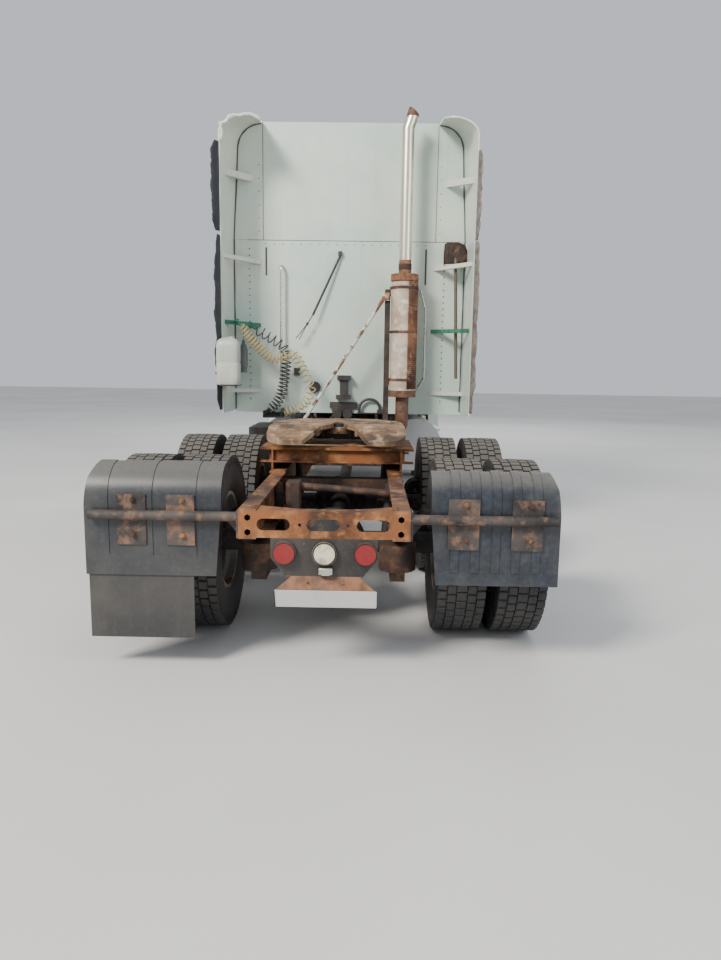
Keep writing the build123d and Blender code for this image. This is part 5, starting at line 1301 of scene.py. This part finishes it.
def build_shovel():
    """Dished blade up, handle down, behind the right strut."""
    centre = Vector((cab_half_width - 0.125, shovel_y + 0.002, 2.645))
    rows = []
    for share, dish in ((1.0, 0.0), (0.7, -0.004), (0.35, -0.0035), (0.0, -0.003)):
        ring = [
            centre + Vector(((x - centre.x) * share, dish, (z - centre.z) * share))
            for x, z in blade_outline
        ]
        rows.append(ring + [ring[0]])
    blade = Shapes()
    blade.grid(rows)
    blade.piece("shovel_blade", "chassis", "shovel_rust", thickness=0.004)

    foot_x, neck_x, tip_x = cab_half_width - 0.083, cab_half_width - 0.121, cab_half_width - 0.123
    handle = Shapes()
    handle.bar((foot_x, shovel_y, 1.484), (neck_x, shovel_y, 2.56), 0.0155)
    handle.bar((neck_x, shovel_y, 2.54), (tip_x, shovel_y, 2.60), 0.0158, end_radius=0.011)
    handle.piece("shovel_handle", "chassis", "shovel_wood")


# Tail
lamp_low, lamp_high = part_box("tail_lamps")
panel_y = lamp_high.y
lamp_z = (lamp_low.z + lamp_high.z) / 2
lamp_places = (-0.199, 0.003, 0.209)
cup_profile = [(0.0, 0.0615), (0.0245, 0.0615), (0.0285, 0.059), (0.0285, 0.054), (0.024, 0.0535)]
plate_rim_width = 0.006


def build_lamp_cups():
    """Black cup round each of the three tail lamps."""
    cups = Shapes()
    for lamp_x in lamp_places:
        cups.lathe((lamp_x, panel_y, lamp_z), backward, cup_profile, 40)
    cups.piece("lamp_cups", "chassis", "cup_black")


def build_panel_screws():
    """Screws between the lamps, and the two that hold the plate."""
    screws = Shapes()
    for x in (-0.235, 0.235, -0.10, 0.106):
        screws.dome((x, panel_y, lamp_z + 0.045), backward, 0.006, 0.003)
    for x in (-0.08, 0.096):
        screws.nut((x, panel_y - 0.02, 0.505), (0, -1, -0.3), 0.007, 0.003)
    screws.piece("panel_screws", "chassis", "bolt_rust")


def build_plate_rim():
    """Thin dark rim round the plate's rear face, which is found in the plate's own mesh."""
    plate = nodes["licence_plate"].data
    front = min((face.normal for face in plate.polygons), key=lambda normal: normal.y).copy()
    nearest = max(front.dot(vertex.co) for vertex in plate.vertices)
    shown = [vertex.co for vertex in plate.vertices if front.dot(vertex.co) > nearest - 0.0005]
    low_x, high_x = min(co.x for co in shown), max(co.x for co in shown)
    bottom = min(shown, key=lambda co: co.z)
    top = max(shown, key=lambda co: co.z)
    up = Vector((0, top.y - bottom.y, top.z - bottom.z))
    half_wide, half_high = (high_x - low_x) / 2, up.length / 2
    middle = Vector(((low_x + high_x) / 2, bottom.y, bottom.z)) + up / 2 + front * 0.0006
    up.normalize()
    rows = []
    for inset in (0, plate_rim_width):
        ring = [
            middle + Vector((a * (half_wide - inset), 0, 0)) + up * (b * (half_high - inset))
            for a, b in ((-1, -1), (1, -1), (1, 1), (-1, 1))
        ]
        rows.append(ring + [ring[0]])
    rim = Shapes()
    rim.grid(rows)
    rim.piece("plate_rim", "chassis", "cup_black", smooth=False, thickness=0.001)


def build_tag_lamp():
    """Small lamp over the plate, with its tube."""
    tag = Shapes()
    tag.box((-0.025, panel_y - 0.034, 0.549), (0.044, panel_y, 0.583))
    tag.bar((-0.012, panel_y - 0.030, 0.5485), (0.031, panel_y - 0.030, 0.5485), 0.004)
    tag.piece("tag_lamp", "chassis", "bright_bolt", bevel=0.004)


def build_tail_bolts():
    """Bolts through the rear crossmember and on the rails' top flanges."""
    bolts = Shapes()
    crossmember_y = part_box("rear_crossmember")[0].y
    for x in (-0.385, 0.385):
        for z in (0.755, 0.83):
            bolts.nut((x, crossmember_y + 0.002, z), backward, 0.017, 0.002)
    for side in (-1, 1):
        for forward in (0.03, 0.075):
            bolts.nut((side * 0.36, tail_y + forward, rail_top_z), upright, 0.014, 0.009)
    bolts.piece("tail_bolts", "chassis", "bolt_rust")


# Mudguards
clamp_places = (-0.985, -0.734, 0.703, 1.026)
clamp_z = 0.827


def build_guard_fixings():
    """Two bolts on each clamp plate."""
    clamp_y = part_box("mudguards")[0].y - 0.008
    bolts = Shapes()
    for clamp_x in clamp_places:
        for rise in (-0.105, 0.075):
            place = Vector((clamp_x + 0.01, clamp_y, clamp_z + rise))
            bolts.nut(place, backward, 0.014, 0.012)
            bolts.bar(place, place + Vector(backward) * 0.018, 0.007, 8)
    bolts.piece("clamp_bolts", "chassis", "bolt_rust")


# Exhaust
shield_turn = 74
shield_steps = 30
shield_levels = (1.385, 1.6, 1.9, 2.2, 2.365)
band_profile = [(0, 0.1205), (0, 0.129), (0.022, 0.129), (0.022, 0.1205)]
pipe_clamp_profile = [(0, 0.0575), (0.0, 0.061), (0.05, 0.061), (0.05, 0.0575)]


def build_heat_shield():
    """Perforated half shield on the muffler's outer side."""
    shield = Shapes()
    rows = []
    for i in range(shield_steps + 1):
        angle = math.radians(-shield_turn + 2 * shield_turn * i / shield_steps)
        x = stack_x + math.cos(angle) * shield_radius
        y = stack_y - math.sin(angle) * shield_radius
        rows.append([(x, y, z) for z in shield_levels])
    shield.grid(rows)
    shield.piece("heat_shield", "chassis", "shield_steel", thickness=0.002)


def build_muffler_bands():
    """Three bands round the muffler with their lugs, and the clamp on the pipe above."""
    bands = Shapes()
    for z in (1.46, 1.90, 2.30):
        bands.lathe((stack_x, stack_y, z), upright, band_profile, 56)
        bands.box((stack_x - 0.135, stack_y - 0.015, z), (stack_x - 0.115, stack_y + 0.015, z + 0.022))
    bands.lathe((stack_x, stack_y, 2.475), upright, pipe_clamp_profile, 40)
    bands.piece("muffler_bands", "chassis", "clamp_rust")


# Fifth wheel
kingpin_y = -2.5
pivot_x, pivot_z = 0.43, 1.09
jaw_ring_profile = [(0.0, 0.0262), (0.0, 0.046), (0.045, 0.046), (0.045, 0.0262), (0.0, 0.0262)]
pivot_cap_profile = [(0, 0.0), (0, 0.03), (0.006, 0.03), (0.008, 0.026), (0.008, 0.0)]


def build_fifth_wheel():
    """Jaw ring in the throat, caps on the pivots and bolts along the mount."""
    plate_top_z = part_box("fifth_wheel_plate")[1].z
    jaw = Shapes()
    jaw.lathe((0, kingpin_y, plate_top_z - 0.052), upright, jaw_ring_profile, 40)
    jaw.piece("kingpin_jaw_ring", "fifth_wheel", "throat_grease")

    fixings = Shapes()
    for side in (-1, 1):
        fixings.lathe((side * pivot_x, kingpin_y, pivot_z), (side, 0, 0), pivot_cap_profile, 24)
    low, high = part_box("fifth_wheel_mount")
    for side in (-1, 1):
        for y in (low.y + 0.16, low.y + 0.32, high.y - 0.32, high.y - 0.16):
            fixings.nut((side * (rail_outer_x + 0.012), y, 0.80), (side, 0, 0), 0.015, 0.012)
    fixings.piece("mount_bolts", "chassis", "bolt_rust")


# Drive axles
drive_axles_y = (-3.365, -2.045)
chamber_x, chamber_z = 0.60, 0.60
chamber_profile = [
    # along, radius
    (0, 0.0),
    (0, 0.072),
    (0.05, 0.078),
    (0.055, 0.086),
    (0.07, 0.086),
    (0.075, 0.078),
    (0.15, 0.075),
    (0.17, 0.05),
    (0.17, 0.0),
]


def build_running_gear():
    """Brake chambers with their push rods, and shock absorbers."""
    gear = Shapes()
    for axle_y in drive_axles_y:
        for side in (-1, 1):
            x = side * chamber_x
            gear.lathe((x, axle_y + 0.17, chamber_z), (0, 1, 0), chamber_profile, 28)
            gear.bar((x, axle_y + 0.02, chamber_z), (x, axle_y + 0.18, chamber_z), 0.012, 10)
            gear.bar((side * 0.33, axle_y + 0.09, 0.50), (side * 0.35, axle_y + 0.14, 0.86), 0.028, 18)
            gear.bar((side * 0.33, axle_y + 0.09, 0.48), (side * 0.352, axle_y + 0.15, 0.70), 0.036, 18)
    gear.piece("brakes_and_shocks", "chassis", "axle_grime")


# Sides and front
roof_lamp_places = (-0.62, -0.31, 0.0, 0.31, 0.62)
roof_lamp_profile = [(0, 0.0), (0.0, 0.05), (0.012, 0.046), (0.03, 0.02), (0.033, 0.0)]
tank_cap_profile = [(0, 0.0), (0, 0.052), (0.022, 0.052), (0.03, 0.044), (0.03, 0.0)]
handle_length = 0.17
handle_height = 0.055


def build_roof_lamps():
    """Row of marker lamps over the windscreen."""
    lamps = Shapes()
    for x in roof_lamp_places:
        lamps.lathe((x, 1.02, 3.755), (0, 0.35, 1), roof_lamp_profile, 20)
    lamps.piece("roof_lamps", "chassis", "amber_lens")


def build_door_handles():
    """A handle on each door's skin, found by a ray from outside."""
    for side, body in ((-1, "door_left"), (1, "door_right")):
        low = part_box(body)[0]
        y, z = low.y + 0.10, low.z + 0.42
        skin_x = nodes[body].ray_cast((side * 3, y + handle_length / 2, z + 0.03), (-side, 0, 0))[1].x
        handle = Shapes()
        handle.box((skin_x - 0.006, y, z), (skin_x + 0.006, y + handle_length, z + handle_height))
        handle.piece("handle_" + body, body, "black_plastic", bevel=0.003)


def build_tank_caps():
    """Filler cap on each fuel tank."""
    caps = Shapes()
    for side in (-1, 1):
        caps.lathe((side * 0.86, 1.2, 0.985), (side * 0.35, 0, 1), tank_cap_profile, 28)
    caps.piece("tank_caps", "chassis", "bright_bolt")


# Seats and mattress
cushion_cuts = 9
cushion_softness = 0.36


def cushion(name, low, high, look, crown, stands_for=()):
    """Padded block with soft corners and a crowned top, its underside flat."""
    low, high = Vector(low), Vector(high)
    size = high - low
    centre = (low + high) / 2
    mesh = bmesh.new()
    bmesh.ops.create_cube(mesh, size=2)
    bmesh.ops.subdivide_edges(mesh, edges=mesh.edges, cuts=cushion_cuts, use_grid_fill=True)
    soft = min(size) * cushion_softness
    for vertex in mesh.verts:
        unit = vertex.co.copy()
        place = Vector([unit[i] * (size[i] / 2 - soft) for i in range(3)])
        reach = Vector([unit[i] ** 3 for i in range(3)])
        if reach.length > 0:
            reach = reach.normalized()
        swell = crown * (1 - unit.x**2) * (1 - unit.y**2)
        place += reach * soft
        place.z += swell if unit.z > 0.9 else 0
        vertex.co = centre + place
        vertex.co.z = min(vertex.co.z, high.z)
    data = bpy.data.meshes.new(name)
    mesh.to_mesh(data)
    mesh.free()
    data.materials.append(looks[look])
    data.shade_smooth()
    made = bpy.data.objects.new(name, data)
    bpy.context.scene.collection.objects.link(made)
    rounder = made.modifiers.new("soft", "SUBSURF")
    rounder.levels = 1
    rounder.render_levels = 1
    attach(made, "chassis")
    if stands_for:
        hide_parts(*stands_for)
    return made


def build_seats():
    """Two seats on their bases and the bunk mattress."""
    for name, seat_x in (("driver", -0.48), ("passenger", 0.48)):
        cushion(
            f"{name}_seat_cushion",
            (seat_x - 0.26, 1.22, 1.525),
            (seat_x + 0.26, 1.74, 1.655),
            "seat_cloth",
            0.012,
            ["seats"] if name == "driver" else (),
        )
        cushion(
            f"{name}_seat_back",
            (seat_x - 0.25, 1.185, 1.66),
            (seat_x + 0.25, 1.315, 2.22),
            "seat_cloth",
            0.0,
        )
    bases = Shapes()
    for seat_x in (-0.48, 0.48):
        bases.box((seat_x - 0.18, 1.29, 1.18), (seat_x + 0.18, 1.65, 1.528))
        bases.box((seat_x - 0.22, 1.27, 1.47), (seat_x + 0.22, 1.67, 1.528))
    bases.piece("seat_bases", "chassis", "black_plastic", bevel=0.012)
    low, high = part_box("mattress")
    cushion("bunk_mattress", low, high, "mattress_cloth", 0.01, ["mattress"])


# Studio
floor_half = 40
floor_corners = [
    (-floor_half, -floor_half),
    (floor_half, -floor_half),
    (floor_half, floor_half),
    (-floor_half, floor_half),
]


def build_stage():
    """Pale flat floor, 80 m across."""
    material, wiring, shader = new_material("studio_floor")
    patches = wiring.between(wiring.cloud(0.35, 3, 0.5), 0.35, 0.65)
    shade = wiring.mix(patches, (0.60, 0.595, 0.585), (0.66, 0.655, 0.645))
    wiring.join(shade, shader.inputs["Base Color"])
    shader.inputs["Roughness"].default_value = 0.85
    mesh = bmesh.new()
    mesh.faces.new([mesh.verts.new((x, y, 0)) for x, y in floor_corners])
    data = bpy.data.meshes.new("studio_floor")
    mesh.to_mesh(data)
    mesh.free()
    data.materials.append(material)
    stage = bpy.data.objects.new("studio_floor", data)
    bpy.context.scene.collection.objects.link(stage)


def add_light(name, place, aim, size, power, colour):
    """Soft square lamp that looks at a point."""
    data = bpy.data.lights.new(name, "AREA")
    data.shape = "RECTANGLE"
    data.size, data.size_y = size
    data.energy = power
    data.color = colour
    lamp = bpy.data.objects.new(name, data)
    lamp.location = place
    lamp.rotation_euler = (Vector(aim) - Vector(place)).to_track_quat("-Z", "Y").to_euler()
    bpy.context.scene.collection.objects.link(lamp)


def light_scene():
    """Pale surroundings, a large key high on the left rear and a weak fill on the right."""
    world = bpy.data.worlds.new("studio")
    world.use_nodes = True
    background = world.node_tree.nodes["Background"]
    background.inputs["Color"].default_value = (0.80, 0.84, 0.90, 1)
    background.inputs["Strength"].default_value = 0.8
    bpy.context.scene.world = world
    add_light("key", (-7, -11, 10), (0, -1.5, 1.6), (3.5, 3.5), 2600, (1.0, 0.95, 0.87))
    add_light("fill", (9, -8, 5), (0, -1, 1.5), (6, 5), 350, (0.92, 0.96, 1.0))
    add_light("rim", (3, 12, 9), (0, 1, 2), (7, 5), 700, (1.0, 0.98, 0.95))


set_camera()
build_coils()
finish_nodes()
build_tyres()
build_wheel_nuts()
build_wall_rivets()
build_wall_slots()
build_wall_seams()
build_wall_seals()
build_rubber_edges()
build_torn_lip()
build_jug()
build_jug_shelf()
build_bottle()
build_shovel()
build_lamp_cups()
build_panel_screws()
build_plate_rim()
build_tag_lamp()
build_tail_bolts()
build_guard_fixings()
build_heat_shield()
build_muffler_bands()
build_fifth_wheel()
build_running_gear()
build_roof_lamps()
build_door_handles()
build_tank_caps()
build_seats()
build_stage()
light_scene()
